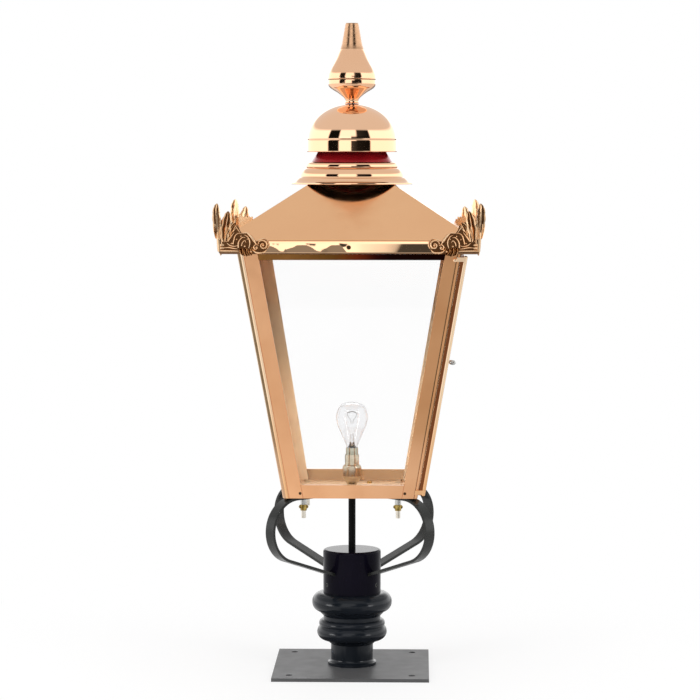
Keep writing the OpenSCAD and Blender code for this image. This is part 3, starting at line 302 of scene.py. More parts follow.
# The posts on the door's side are painted darker above its foot as shade, and all posts are painted darker
# inside towards the eave as shade under the roof
tint_along(SHADED, "Z", 0.3, 0.8, [(0.405, (1, 1, 1)), (0.44, (0.84, 0.79, 0.70))])
tint_along(POST_INNER, "Z", 0.3, 0.8, [(0.45, (1, 1, 1)), (0.50, (0.90, 0.87, 0.83)),
                                       (0.55, (0.68, 0.67, 0.63)), (0.60, (0.62, 0.62, 0.60)),
                                       (0.66, (0.63, 0.53, 0.43)), (0.70, (0.78, 0.64, 0.52)),
                                       (0.74, (0.88, 0.76, 0.66))])

PAINT = {
    ROOF: "roof_panels",
    COPPER: """post_front_left post_front_right post_back_left post_back_right soffit_frame
        door_stile_catch door_rail_top door_rail_bottom""",
    STILE: "door_stile_hinge",
    # The hinge takes the painted highlight
    EDGE: "hinge_tube hinge_lugs",
    SILL: "sill_rails",
    INNER: "floor_plate door_clips",
    POST_INNER: "glazing_clips",
    BRONZE: "frame_rivets eave_screws hinge_rod",
    # The head rails take painted shade
    RAILS_SHADE: "head_rails",
    BRIGHT: "cowl_dome",
    FINIAL: "finial_lower finial_upper",
    STUD: "fixing_studs",
    SKIRT: "vent_ring cowl_band vent_skirt",
    EAVE: "eave_band",
    EARS: "ear_front_left ear_front_right ear_back_left ear_back_right",
    # The collar takes deep red as a painted reflection
    RED_REFLECTION: "vent_collar",
    BRASS: "wing_nuts contact_plungers earth_screw",
    STEEL: "spacer_collars catch_knob catch_tongue finial_rod finial_nut",
    BLACK: "arm_front_left arm_front_right arm_back_left arm_back_right conduit_nut socket_screws",
    CAST: "column",
    SLEEVE: "conduit",
    CAP: "bulb_cap",
    # The straps inside the cowl take near black as painted shade
    INSIDE_SHADE: "cowl_straps",
    SOCKET: "frog_socket",
    PLATE: "base_plate",
    HOLDER: "lampholder",
    GLASS: "glass_front glass_back glass_left door_glass",
    BULB: "bulb_glass bulb_stem",
}
for material, names in PAINT.items():
    for name in names.split():
        nodes[name].data.materials.clear()
        nodes[name].data.materials.append(material)


# Ways to make pieces
def add(name, bm, materials, body, sharp, node=None):
    """Makes a piece that rides on a CAD body, with edges over an angle sharp, in a named node's place."""
    bmesh.ops.recalc_face_normals(bm, faces=bm.faces)
    mesh = bpy.data.meshes.new(name)
    bm.to_mesh(mesh)
    bm.free()
    for polygon in mesh.polygons:
        polygon.use_smooth = True
    mesh.set_sharp_from_angle(angle=math.radians(sharp))
    for material in materials:
        mesh.materials.append(material)
    o = bpy.data.objects.new(name, mesh)
    scene.collection.objects.link(o)
    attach(o, body)
    if node:
        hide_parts(node)
    return o


def spline(points, steps):
    """Points along a smooth curve through the given ones, with some steps between each two."""
    out = []
    for i in range(len(points) - 1):
        a, b = points[max(i - 1, 0)], points[i]
        c, d = points[i + 1], points[min(i + 2, len(points) - 1)]
        for t in even(0, 1, steps)[:-1]:
            out.append(tuple(0.5 * (2 * q + (r - p) * t + (2 * p - 5 * q + 4 * r - s) * t * t
                                    + (3 * q - p - 3 * r + s) * t ** 3) for p, q, r, s in zip(a, b, c, d)))
    return out + [tuple(points[-1])]


def between(values, u):
    """A value between the listed ones, which are spaced evenly from 0 to 1."""
    x = u * (len(values) - 1)
    i = min(int(x), len(values) - 2)
    return values[i] + (values[i + 1] - values[i]) * (x - i)


def tube(bm, rings, slots=None):
    """Joins rings of vertices and closes both ends; slots gives each strip along the tube its material."""
    for ring, after in zip(rings, rings[1:]):
        for j in range(len(ring)):
            k = (j + 1) % len(ring)
            face = bm.faces.new((ring[j], ring[k], after[k], after[j]))
            face.material_index = slots[j] if slots else 0
    bm.faces.new(rings[0])
    bm.faces.new(rings[-1][::-1])


def heights(node):
    """The bottom and the top of a CAD node, in millimetres."""
    lo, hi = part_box(node)
    return lo[2] / MM, hi[2] / MM


# Spun parts, turned about the middle line from (radius, height) points
SHEET = 1.3
HEAVY_SHEET = 1.4
DOME_SHEET = 1.2
SPUN_SIDES = 144
FINIAL_SIDES = 120


def offset(points, distance):
    """The same outline moved in, to the left of its way up."""
    out = []
    for i, (r, z) in enumerate(points):
        (r0, z0), (r1, z1) = points[max(i - 1, 0)], points[min(i + 1, len(points) - 1)]
        length = math.hypot(r1 - r0, z1 - z0)
        out.append((r - distance * (z1 - z0) / length, z + distance * (r1 - r0) / length))
    return out


def shell(name, outline, thick, material, node, sides=SPUN_SIDES):
    """A sheet shell: the outline is its outside from the bottom up, and its inside is painted near black as
    shade.
    """
    profile = outline + offset(outline, thick)[::-1]
    bm = bmesh.new()
    rings = [[bm.verts.new((r * MM * math.cos(a), r * MM * math.sin(a), z * MM)) for a in circle(sides)]
             for r, z in profile]
    for i, (ring, after) in enumerate(zip(rings, rings[1:] + rings[:1])):
        for j in range(sides):
            k = (j + 1) % sides
            face = bm.faces.new((ring[j], ring[k], after[k], after[j]))
            face.material_index = 1 if len(outline) <= i < len(profile) - 1 else 0
    return add(name, bm, (material, INSIDE_SHADE), "lantern", 30, node)


def repaint(o, material, start, end):
    """Gives the outer faces of a shell another material between two heights."""
    o.data.materials.append(material)
    for polygon in o.data.polygons:
        if polygon.material_index == 0 and start <= polygon.center.z / MM <= end:
            polygon.material_index = 2


def vent_skirt():
    """The skirt on the roof: a rolled foot, a hollow curve, a step and a second curve."""
    z, t = heights("vent_skirt")
    line = [(107.3, z + 0.1), (107.95, z + 0.5), (108, z + 0.9), (107.95, z + 2.2), (107.6, z + 2.9)]
    line += spline([(106.6, z + 3.4), (103.2, z + 5.0), (99.8, z + 7.8), (97.2, z + 10.6)], 5)
    line += [(95.9, z + 11.4), (94.6, z + 11.7), (93.4, z + 12.6), (92.6, z + 14.2), (92.2, z + 16.5)]
    line += [(91.7, z + 18.6)]
    line += spline([(90.8, z + 20.4), (88.6, z + 23.6), (85.6, z + 26.6), (83, z + 28.2)], 4)
    line += [(81.4, t - 0.5), (79.8, t - 0.05)]
    shell("skirt_spun", line, HEAVY_SHEET, SKIRT, "vent_skirt")


def vent_ring():
    """The bright ring on the skirt."""
    z, t = heights("vent_ring")
    line = [(80.6, z), (81.4, z + 0.4), (81.6, z + 1), (81.55, z + 2.4), (81.3, z + 4.4), (80.8, z + 6)]
    line += [(79.8, z + 7.4), (78.4, t - 0.9), (76.9, t - 0.2), (75.6, t), (72.4, t)]
    shell("ring_spun", line, SHEET, SKIRT, "vent_ring")


def vent_collar():
    """The collar, coloured deep red as a painted reflection of the copper round it, which draws in to its
    throat under the cowl.
    """
    z, t = heights("vent_collar")
    throat = heights("cowl_band")[0] - 2.2
    line = [(70.4, z), (70.8, z + 0.4)] + spline([(70.4, z + 1.2), (67, z + 7.5), (62.6, z + 14.4)], 4)
    line += [(61.7, throat - 0.4), (61.2, throat + 1), (61.2, t - 0.6), (60.8, t)]
    shell("collar_spun", line, SHEET, RED_REFLECTION, "vent_collar")


def cowl_band():
    """The upright band of the cowl."""
    z, t = heights("cowl_band")
    line = [(79.3, z), (79.8, z + 0.3), (80, z + 0.9), (79.99, z + 1.5), (79.97, z + 3), (79.9, z + 10)]
    line += [(79.83, t - 2.4), (79.8, t - 1.4), (79.6, t - 0.6), (79, t)]
    shell("band_spun", line, SHEET, SKIRT, "cowl_band")


def cowl_dome():
    """The dome of the cowl, up to just under the finial."""
    radius, foot, clearance = 79.0, 0.4, 0.3
    z = heights("cowl_dome")[0]
    rise = heights("finial_lower")[0] - clearance - z - foot
    line = [(78.8, z), (radius, z + foot)]
    line += [(radius * math.cos(a), z + foot + rise * math.sin(a))
             for a in even(math.radians(3), math.radians(83.5), 36)]
    shell("dome_spun", line, DOME_SHEET, BRIGHT, "cowl_dome")


def finial_bowl():
    """The lower half of the finial, with a darker seam at its rim."""
    rim = 1.3
    z, t = heights("finial_lower")
    line = [(12.6, z), (13.3, z + 0.5), (13.3, z + 1.1), (12.4, z + 1.7)]
    line += spline([(11.6, z + 2.6), (11.4, z + 5), (12.6, z + 8.6), (16.4, z + 12.6), (25, z + 19.2),
                    (31.6, z + 23.2), (37, z + 26.6), (40.6, z + 30.2), (41.9, z + 33.4),
                    (42.1, z + 35.6)], 6)
    line += [(42.12, z + 37.4), (42.1, z + 39.4), (42, t - 1.2), (41.4, t)]
    o = shell("finial_bowl", line, HEAVY_SHEET, FINIAL, "finial_lower", FINIAL_SIDES)
    repaint(o, SEAM_AND_SHADE, t - rim, t)


def finial_spire():
    """The upper half of the finial, brushed and painted darker as shade above its shoulder."""
    neck = 54
    z, t = heights("finial_upper")
    line = [(41.9, z), (42.7, z + 0.6), (42.8, z + 1.4), (42.6, z + 2.2)]
    line += spline([(42.2, z + 3.2), (41.9, z + 6.5), (40.6, z + 11.6), (37.3, z + 18.6), (33, z + 26),
                    (28.8, z + 34), (24.9, z + 43), (21.4, z + 51.5), (18.6, z + 60), (16.7, z + 69),
                    (14.9, z + 79), (13.2, z + 88), (11.6, t - 1.6)], 5)
    line += [(11.2, t - 0.5), (10.4, t), (0.5, t)]
    o = shell("finial_spire", line, HEAVY_SHEET, FINIAL, "finial_upper", FINIAL_SIDES)
    repaint(o, NECK, z + neck, t)


# Eave band: where its planished face turns over, as (place along the side, height above the middle)
FOLD = [(-160, 2), (-132, 3.6), (-123, 0), (-116, -5.8), (-110, -5.8), (-104, -1.2), (-95, 1), (-87, 5.4),
        (-74, 5.9), (-67, 3.4), (-61, 0.4), (-55, -4.4), (-48, -6), (-42, -3.6), (-36, 1.4), (-29, 5.6),
        (-16, 6), (2, -10.5), (84, -10.5), (219, -11.5)]
# On the left and right sides, the place u follows the fold at this less u
FOLD_REVERSED = 40
EAVE_STEPS = 176
# The face leans back, bows along its fold, rolls in at the top and turns away past one place
LEAN, BOW, BOW_ROUND = 0.018, 0.33, 6
ROLL, ROLL_START = 0.03, 5.5
TURN, TURN_START, TURN_SLANT, TURN_ROUND = 0.03, 88, 0.6, 3


def fold(u):
    """Height above the middle where the face turns over, at u along the side."""
    for (u0, f0), (u1, f1) in zip(FOLD, FOLD[1:]):
        if u <= u1:
            x = max(0, (u - u0) / (u1 - u0))
            return f0 + (f1 - f0) * x * x * (3 - 2 * x)
    return FOLD[-1][1]


def planished(u, height, side):
    """How far the eave's face stands out at u along a side, at a height above its middle."""
    ahead = side % 2 == 0
    f = fold(u if ahead else FOLD_REVERSED - u)
    bow = math.log(math.cosh((height - f) / BOW_ROUND)) - math.log(math.cosh(f / BOW_ROUND))
    past = (u if ahead else -u) - TURN_START - TURN_SLANT * height
    turn = TURN * math.log(1 + math.exp(past / TURN_ROUND))
    return -LEAN * height - BOW * bow - ROLL * max(0, height - ROLL_START) ** 2 - turn


def eave():
    """The folded band round the eave: a slightly crowned, hand-planished face with turned edges."""
    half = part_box("eave_band")[1][0] / MM
    z0, z1 = heights("eave_band")
    mid = (z0 + z1) / 2
    # Each point has its place across the edge, its height, and the height whose face it follows
    low, high = z0 + 2, z1 - 1.4
    profile = [(-9, z0 + 1.5, None), (-9, z0 + 0.2, None), (-3, z0, low), (-1.2, z0 + 0.3, low)]
    profile += [(-0.45, z0 + 1.1, low)]
    underside = len(profile)
    profile += [(0, z, z) for z in even(low, high, 12)]
    profile += [(-0.25, z1 - 0.7, high), (-0.8, z1 - 0.2, high), (-1.6, z1, high), (-3.4, z1, None)]
    profile += [(-3.4, z1 - 2, None)]
    bm = bmesh.new()
    rows = []
    for side, angle in enumerate(circle(4)):
        for t in even(-1, 1, EAVE_STEPS)[:-1]:
            row = []
            for across, z, followed in profile:
                reach = half + across
                out = reach
                # The waves die out at the corners
                if followed:
                    out += planished(t * reach, followed - mid, side) * (1 - t ** 8)
                x, y = (-out if t == -1 else t * reach), -out
                row.append(bm.verts.new(((x * math.cos(angle) - y * math.sin(angle)) * MM,
                                         (x * math.sin(angle) + y * math.cos(angle)) * MM, z * MM)))
            rows.append(row)
    for row, after in zip(rows, rows[1:] + rows[:1]):
        for j in range(len(profile)):
            k = (j + 1) % len(profile)
            face = bm.faces.new((row[j], after[j], after[k], row[k]))
            # The underside takes near black copper as painted shade
            face.material_index = 1 if j < underside else 0
    add("eave_folded", bm, (EAVE, UNDERSIDE_SHADE), "lantern", 40, "eave_band")


# Corner ears, whose ribs and leaves have one of these sections, as shares of their half width and height
ROUND = [(-1, 0), (-0.93, 0.3), (-0.7, 0.62), (-0.34, 0.92), (0, 1), (0.34, 0.92), (0.7, 0.62), (0.93, 0.3),
         (1, 0), (0.9, -0.3), (-0.9, -0.3)]
FROND = [(-1, 0.62), (-0.86, 0.86), (-0.66, 0.6), (-0.42, 0.16), (-0.22, 0.3), (-0.12, 0.72), (0, 0.95),
         (0.12, 0.72), (0.22, 0.3), (0.42, 0.16), (0.66, 0.6), (0.86, 0.86), (1, 0.62), (0.9, 0.3),
         (0.4, -0.25), (-0.4, -0.25), (-0.9, 0.3)]
# The grooves beside a leaf's middle rib are painted darker as shade
FROND_SLOTS = [1 if j in (2, 3, 8, 9) else 0 for j in range(len(FROND))]
PLATE_THICK = 1.2
# Gaps from the eave to the plates and to the corner's own rib, and how far the plates reach past the corner
PLATE_GAP, RIB_GAP, PLATE_REACH = 0.1, 0.4, 4


def sweep(bm, place, path, half, high, section=ROUND, steps=6, teeth=0.0, lobes=5):
    """A rib or leaf along a path of (s, t, n) points; half and high list its half widths and its heights."""
    points = spline(path, steps)
    rings = []
    for i, (s, t, n) in enumerate(points):
        u = i / (len(points) - 1)
        p, q = points[max(i - 1, 0)], points[min(i + 1, len(points) - 1)]
        length = math.hypot(q[0] - p[0], q[1] - p[1]) or 1
        side = (-(q[1] - p[1]) / length, (q[0] - p[0]) / length)
        notch = 1 - abs(math.sin(math.pi * lobes * u ** 0.9))
        w = between(half, u) * (1 - teeth * notch)
        h = between(high, u)
        rings.append([bm.verts.new(place(s + side[0] * w * x, t + side[1] * w * x, n + h * y))
                      for x, y in section])
    tube(bm, rings, FROND_SLOTS if section is FROND else None)


def curl(s, t, r0, r1, start, end, n, rise, steps=22):
    """Points of a spiral about (s, t), between two radii and two angles in degrees."""
    out = []
    for u in even(0, 1, steps):
        a = math.radians(start + (end - start) * u)
        r = r0 + (r1 - r0) * u ** 0.8
        out.append((s + r * math.cos(a), t + r * math.sin(a), n + rise * u))
    return out


def bead(bm, place, s, t, n, radius, height):
    """A small domed button."""
    dome = ((1, -0.3), (1, 0.15), (0.82, 0.6), (0.45, 0.92), (0.08, 1))
    tube(bm, [[bm.verts.new(place(s + radius * x * math.cos(a), t + radius * x * math.sin(a), n + height * y))
               for a in circle(10)] for x, y in dome])


def wing(bm, place):
    """One wing of a corner casting: s from the corner along the eave, t above the band's top, n outwards."""
    def rib(path, half, high):
        sweep(bm, place, [(s, t, 1.1) for s, t in path], half, high)

    # Upright fan at the corner
    rib([(7.5, -6), (7, 8), (8, 22), (9.5, 33)], (1.8, 1.6, 1.2, 0.3), (2.6, 2.8, 2.4, 1))
    rib([(13.5, -2), (14.8, 6), (17, 19), (20, 31)], (1.2, 1.3, 1.1, 0.4), (2.6, 2.9, 2.6, 1.4))
    rib([(18.4, -1), (23, 6), (29.6, 14.6)], (1.6, 2.0, 0.7), (3, 3.6, 2))
    rib([(22, 10), (24, 19), (25.5, 29)], (0.9, 1.2, 0.4), (2.2, 2.8, 1.2))
    rib([(28, 28.5), (33, 22), (39, 13.5)], (0.5, 1.2, 0.6), (1.6, 2.6, 1.8))
    rib([(27, 15), (31, 20), (35.5, 26.5)], (0.9, 1.1, 0.4), (2.2, 2.4, 1.2))
    # Overlapping arcs along the middle
    rib([(27, -6), (28.6, 1), (31, 8.6), (36, 12.4), (42, 11.6)], (1.7, 1.7, 1.6, 1.2, 0.4),
        (2.8, 3.4, 3.2, 2.4, 1.2))
    rib([(36, -12), (36.2, -4), (39, 2), (43.5, 5.6), (48.5, 5)], (1.7, 1.9, 1.6, 1.3, 0.4),
        (2.8, 3.6, 3.2, 2.4, 1.2))
    rib([(46, 10), (51.5, 7), (55, 0.6), (55.6, -6), (53.5, -13)], (0.5, 1.3, 1.6, 1.6, 0.8),
        (1.4, 2.8, 3.4, 3.2, 1.8))
    rib([(41.5, -9), (43, -3.4), (47, 0.2), (49.5, -3.5)], (1.3, 1.4, 1.2, 0.5), (2.4, 3, 2.6, 1.4))
    rib([(43, 12.4), (49, 13.2), (53.5, 12)], (0.4, 1.3, 0.5), (1.2, 2.2, 1.2))
    rib([(51, 13), (57, 7.5), (62, 0.5), (66.5, -6)], (1.1, 2.3, 2.5, 1.2), (2.4, 3.8, 4, 2.6))
    # Lower edge
    rib([(4, -17.2), (14, -17.2), (26, -17.3), (37, -17.6)], (1.4, 1.5, 1.4, 0.9), (1.8, 2, 2, 1.4))
    rib([(12, -12), (20, -11.6), (28, -13), (35, -14)], (0.8, 1.5, 1.4, 0.7), (1.6, 2.6, 2.6, 1.6))
    rib([(17, -4), (22, -8), (30, -9.5), (35, -8)], (0.9, 1.5, 1.3, 0.5), (2, 2.8, 2.4, 1.4))
    for foot, tip in (((41, -12), (43, -25)), ((47.5, -12), (50.5, -27)), ((54, -13), (59, -25)),
                      ((60, -10), (66.5, -20))):
        mid = ((foot[0] + tip[0]) / 2 - 0.8, (foot[1] + tip[1]) / 2)
        sweep(bm, place, [(*foot, 1.0), (*mid, 1.6), (*tip, 1.2)], (1.6, 3.1, 2.6, 0.3), (2, 2.8, 2.2, 0.8),
              FROND)
    # Scrolls
    sweep(bm, place, curl(78, -7.6, 9.4, 2.4, 150, -300, 1.1, 1.2), (1.5, 2.1, 1.9, 1.5, 1.2),
          (3, 3.6, 3.4, 3, 2.6), steps=1)
    bead(bm, place, 78.2, -7.8, 1.8, 2.5, 3.2)
    sweep(bm, place, curl(66, -11.5, 5.4, 1.6, 40, 430, 1.1, 1.0), (1.2, 1.6, 1.4, 1.0), (2.6, 3.2, 3, 2.4),
          steps=1)
    bead(bm, place, 66.2, -11.6, 1.8, 1.6, 2.6)
    rib([(60, -15), (64.5, -19), (71, -20.4), (79, -19.6), (84, -15)], (0.8, 1.7, 2.1, 1.9, 0.6),
        (2, 3.2, 3.6, 3.2, 1.2))
    rib([(66, -1), (72, 0.9), (79, 3.2), (84.5, 2)], (0.6, 1.4, 1.4, 0.4), (1.8, 2.6, 2.4, 1))
    rib([(84, 1), (87.5, -4), (87.6, -9), (85, -14)], (0.5, 1.3, 1.3, 0.5), (1.2, 2.6, 2.6, 1.2))
    for s, t, radius in ((70.2, -4.6, 1.7), (47, -9.6, 2), (40.6, 7.6, 1.6), (24.5, -4.6, 1.7),
                         (33.2, 2.2, 1.5), (51.5, 2.6, 1.3), (57.5, -18.2, 2)):
        bead(bm, place, s, t, 1.2, radius, radius * 1.35)
    # Block at the corner's foot
    for t in (-7.4, -12.6):
        sweep(bm, place, [(2.5, t, 1.4), (7, t, 1.4), (12, t, 1.2)], (2.4, 2.5, 1.6), (2.2, 2.4, 1.2),
              steps=3)
    # Side leaf and its lobe, standing free above the eave
    sweep(bm, place, [(13, -2, 1.0), (13.6, 14, 1.6), (16.2, 30, 2.6), (18.4, 42, 3.6), (19.4, 50, 4.4)],
          (4.2, 7.4, 9, 8.6, 7.6, 5, 0.5), (1.6, 2.4, 3, 3, 2.8, 2, 0.6), FROND, teeth=0.16, lobes=4)
    sweep(bm, place, [(17, 4, 1.0), (22, 16, 1.6), (27.5, 24.5, 2.4), (32.4, 30.5, 3)],
          (2.4, 4.6, 5.4, 4, 0.5), (1.6, 2.4, 2.6, 2, 0.6), FROND, teeth=0.16, lobes=3)


# Outline of the thin plate that a wing's ornament stands on
WING = [(2.4, 27), (2.4, -16), (3.4, -19), (3.4, -20.6), (38, -20.6), (41, -24), (45, -25.6), (50, -26),
        (56, -25), (61, -22), (66, -20.6), (76, -20.4), (82, -17), (86, -11), (87.6, -5), (84.6, 1), (79, 2),
        (72, 0), (66, -2), (61, 3), (57, 9), (51, 12.4), (42, 12.6), (38.6, 18), (36.4, 24), (35.6, 27.4),
        (33, 25.6), (31.6, 29.6), (28.6, 27.6), (26.6, 32), (23.4, 28.6), (20.6, 32.6), (17, 28.4),
        (13.6, 31), (9.4, 34), (6, 30)]


def ear(name, quarter):
    """A cast acanthus ear over one corner of the eave, a number of quarter turns from the back right one."""
    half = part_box("eave_band")[1][0] / MM + PLATE_GAP
    edge = half + PLATE_REACH
    top = heights("eave_band")[1]
    ca, sa = round(math.cos(math.pi / 2 * quarter)), round(math.sin(math.pi / 2 * quarter))

    def world_at(x, y, z):
        return Vector(((x * ca - y * sa) * MM, (x * sa + y * ca) * MM, z * MM))

    def right(s, t, n):
        return world_at(half + n, edge - s, top + t)

    def back(s, t, n):
        return world_at(edge - s, half + n, top + t)

    def middle(s, t, n):
        r = half + RIB_GAP + n / math.sqrt(2)
        return world_at(r - s / math.sqrt(2), r + s / math.sqrt(2), top + t)

    bm = bmesh.new()
    for place in (right, back):
        # The plate's edges and its outer face behind the ornament are painted dark as shade
        tube(bm, [[bm.verts.new(place(s, t, n)) for s, t in WING] for n in (0, PLATE_THICK)], [1] * len(WING))
        bm.faces.ensure_lookup_table()
        bm.faces[-1].material_index = 1
        wing(bm, place)
    # Corner rib, and the tall middle leaf with a smaller one on each side
    sweep(bm, middle, [(0, -18.6, 0.6), (0, -8, 1.4), (0, 4, 2.4), (0, 14, 2.6)], (3.2, 3.6, 3.4, 2.6),
          (2, 2.4, 2.4, 2))
    leaf = [(0, 2, 0.6), (0, 17, 1.3), (0, 33, 2.8), (0, 48, 4.2), (0, 58, 4.6), (0, 63, 4.2)]
    sweep(bm, middle, leaf, (5, 8.6, 11, 11.4, 10.6, 8.4, 5.2, 0.6), (2.6, 3.6, 4.4, 4.6, 4.2, 3.4, 2, 0.6),
          FROND, teeth=0.12)
    for side in (-1, 1):
        leaf = [(side * 3, 4, 3), (side * 6, 16, 3), (side * 8.6, 27, 2.6), (side * 10.4, 36, 2.6)]
        sweep(bm, middle, leaf, (1.6, 3, 3.2, 0.5), (2, 2.8, 2.4, 0.8), FROND)
    add("casting_" + name, bm, (EARS, RECESS_SHADE), "lantern", 42, "ear_" + name)


# Corner posts, folded from sheet: an outline's points have their depth from the side's face, their depth from
# the front or back face, and the material slot: 0 for faces, 1 for beads, 2 for seams and 3 for the inside.
# The beads of the left posts take a painted highlight, and the seam slot paints the rounded corner, the
# grooves and the door side's step dark as shade
POST_WALL = 6.09
LIP = 0.6
CORNER = 5
BEAD_END = 9.7
GROOVE_END = 11
GROOVE_SLOPE = 0.4
STEP = 2.5


def bulge(start, end, rise):
    """The points of a bead's arch from start up to its end, which isn't included."""
    return [(start + (end - start) * u, rise * math.sin(math.pi * u) ** 0.7) for u in even(0, 1, 6)[:-1]]


def beaded_outline(w, v):
    """A post whose rounded corner has a bead on both sides."""
    arch = [(a, -b, 1) for a, b in bulge(BEAD_END, CORNER, 0.9)]
    bend = [(CORNER * (1 - math.sin(a)), CORNER * (1 - math.cos(a)), 2) for a in even(0, math.pi / 2, 8)]
    line = [(w, LIP, 0), (w - LIP, 0, 0), (GROOVE_END, 0, 0), (GROOVE_END - GROOVE_SLOPE, LIP, 0)]
    line += [(BEAD_END + GROOVE_SLOPE, LIP, 0)] + arch + bend[:-1] + [(0, CORNER, 1)]
    line += [(b, a, slot) for a, b, slot in arch[:0:-1]]
    line += [(0, BEAD_END, 2), (LIP, BEAD_END + GROOVE_SLOPE, 2), (LIP, GROOVE_END - GROOVE_SLOPE, 2)]
    return line + [(0, GROOVE_END, 0), (0, v - LIP, 0), (LIP, v, 3)]


def stepped_outline(w, v):
    """A post on the door's side, whose corner steps back beside a bead."""
    line = [(w, LIP, 0), (w - LIP, 0, 0), (7.2, 0, 2), (6.6, 0.5, 2), (6.5, STEP, 2)]
    line += [(a, STEP - b, 1) for a, b in bulge(6.1, 1.5, 1.1)]
    return line + [(1.5, STEP, 2), (0.4, STEP, 2), (0, 2.9, 0), (0, v - LIP, 0), (LIP, v, 3)]


def post(name):
    """A corner post that leans out as it rises."""
    lo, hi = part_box(name)
    z0, z1 = heights(name)
    sx = -1 if "left" in name else 1
    sy = -1 if "front" in name else 1
    outer = max(abs(lo[0]), abs(hi[0])) / MM
    drop = (z1 - z0) * TAPER
    w, v = (hi[0] - lo[0]) / MM - drop, (hi[1] - lo[1]) / MM - drop
    line = beaded_outline(w, v) if sx < 0 else stepped_outline(w, v)
    line += [(POST_WALL, v, 3), (POST_WALL, POST_WALL, 3), (w, POST_WALL, 3)]
    bm = bmesh.new()
    rings = []
    for z in even(z0, z1, 8):
        h = outer - (z1 - z) * TAPER
        rings.append([bm.verts.new((sx * (h - a) * MM, sy * (h - b) * MM, z * MM)) for a, b, slot in line])
    tube(bm, rings, [slot for a, b, slot in line])
    # The left posts' beads take the painted highlight, and the door side's posts take the copy painted darker
    # as shade
    skins = (COPPER, EDGE, SEAM_AND_SHADE, POST_INNER) if sx < 0 else (SHADED, SHADED, SEAM_AND_SHADE, POST_INNER)
    add(name + "_folded", bm, skins, "lantern", 35, name)


# Filament: its supports and its coil, which rises in an arch and turns by an angle at each step
WIRE_SIDES = 6
SUPPORT_RADIUS = 0.35
COIL_WIRE_RADIUS = 0.22
COIL_HALF = 9
COIL_RADIUS = 0.8
COIL_ARCH = 2.6
COIL_TURN = 1.05
COIL_STEPS = 160


def wire(bm, points, radius):
    """A round wire through points, with each ring turned to join the last one by its nearest side."""
    rings = []
    before = None
    turn = 0
    for i, p in enumerate(points):
        d = (Vector(points[min(i + 1, len(points) - 1)]) - Vector(points[max(i - 1, 0)])).normalized()
        u = d.orthogonal().normalized()
        v = d.cross(u)
        ring = [bm.verts.new((Vector(p) + (u * math.cos(a) + v * math.sin(a)) * radius) * MM)
                for a in circle(WIRE_SIDES)]
        if before:
            turn += min(range(WIRE_SIDES), key=lambda j: (ring[j].co - before[0].co).length)
            turn %= WIRE_SIDES
        rings.append(ring[turn:] + ring[:turn])
        before = ring
    tube(bm, rings)


def filament():
    """Two support wires and a coiled filament inside the bulb."""
    z = heights("bulb_stem")[1] - 3
    crown = z + 19
    bm = bmesh.new()
    for side in (-1, 1):
        support = [(1.6, z), (2.4, z + 6), (7, z + 13), (COIL_HALF, crown)]
        wire(bm, spline([(side * x, 0, h) for x, h in support], 4), SUPPORT_RADIUS)
    coil = []
    for i, x in enumerate(even(-COIL_HALF, COIL_HALF, COIL_STEPS)):
        arch = COIL_ARCH * math.sin(math.pi * i / COIL_STEPS)
        turn = i * COIL_TURN
        coil.append((x, COIL_RADIUS * math.sin(turn), crown + arch + COIL_RADIUS * math.cos(turn)))
    wire(bm, coil, COIL_WIRE_RADIUS)
    add("filament", bm, (WIRE,), "bulb", 60)


# Lug screw: its place, and how far out the front post's face stands at a height
SCREW_X, SCREW_Z = 180.6, 739.5
FACE_Y, FACE_Z = 117, 320


def lug_screw():
    """A domed screw on the front right post, beside the upper hinge lug."""
    dome = ((3.9, -0.8), (4, 0.4), (3.7, 1.3), (2.9, 2.1), (1.6, 2.6), (0.3, 2.75))
    y = -(FACE_Y + (SCREW_Z - FACE_Z) * TAPER)
    bm = bmesh.new()
    rings = []
    for r, h in dome:
        points = [(SCREW_X + r * math.cos(a), y - h, SCREW_Z + r * math.sin(a)) for a in circle(24)]
        rings.append([bm.verts.new(Vector(p) * MM) for p in points])
    tube(bm, rings)
    # The screw takes the painted highlight
    add("lug_screw", bm, (EDGE,), "lantern", 40)


for make in (vent_skirt, vent_ring, vent_collar, cowl_band, cowl_dome, finial_bowl, finial_spire, eave):
    make()
for quarter, name in enumerate(("back_right", "back_left", "front_left", "front_right")):
    ear(name, quarter)
for name in ("post_front_left", "post_back_left", "post_front_right", "post_back_right"):
    post(name)
filament()
lug_screw()

# Folded and flat metal has its edges broken a little
SOFT_EDGE = """base_plate arm_front_left arm_front_right arm_back_left arm_back_right floor_plate sill_rails
    head_rails door_stile_hinge door_stile_catch door_rail_top door_rail_bottom"""
for name in SOFT_EDGE.split():
    bevel = nodes[name].modifiers.new("soft_edge", "BEVEL")
    bevel.width = 0.7 * MM
    bevel.segments = 2
    bevel.limit_method = "ANGLE"
    bevel.angle_limit = math.radians(40)


# Stage: the light that matt things gather, and what polished metal sees of the walls and the ceiling
AMBIENT = 0.55
WALL_LEVEL = 1.7
CEILING_LEVEL = 0.82
# Levels round the room by azimuth, zero towards the front, as shares of the walls': low down, and higher up
LOW_WALLS = [(-180, 1), (-64, 1), (-61, 0.004), (-34, 0.004), (-31, 1), (-0.12, 1), (0, 0.045), (5, 0.03),
             (16, 0.008), (48, 0.004), (51, 1), (180, 1)]
HIGH_WALLS = [(-180, 1), (-63, 1), (-60, 0.004), (-33, 0.004), (-30, 0.95), (10, 0.95), (15, 0.02),
              (47, 0.004), (50, 1), (180, 1)]
# Slopes of view between which the low walls turn into the high ones, and those into the ceiling
HIGH_START, HIGH_END = 0.13, 0.30
CEILING_START, CEILING_END = 0.40, 0.52
# The white walls are lower behind the object than beside the camera
BACK_DROP = 0.2


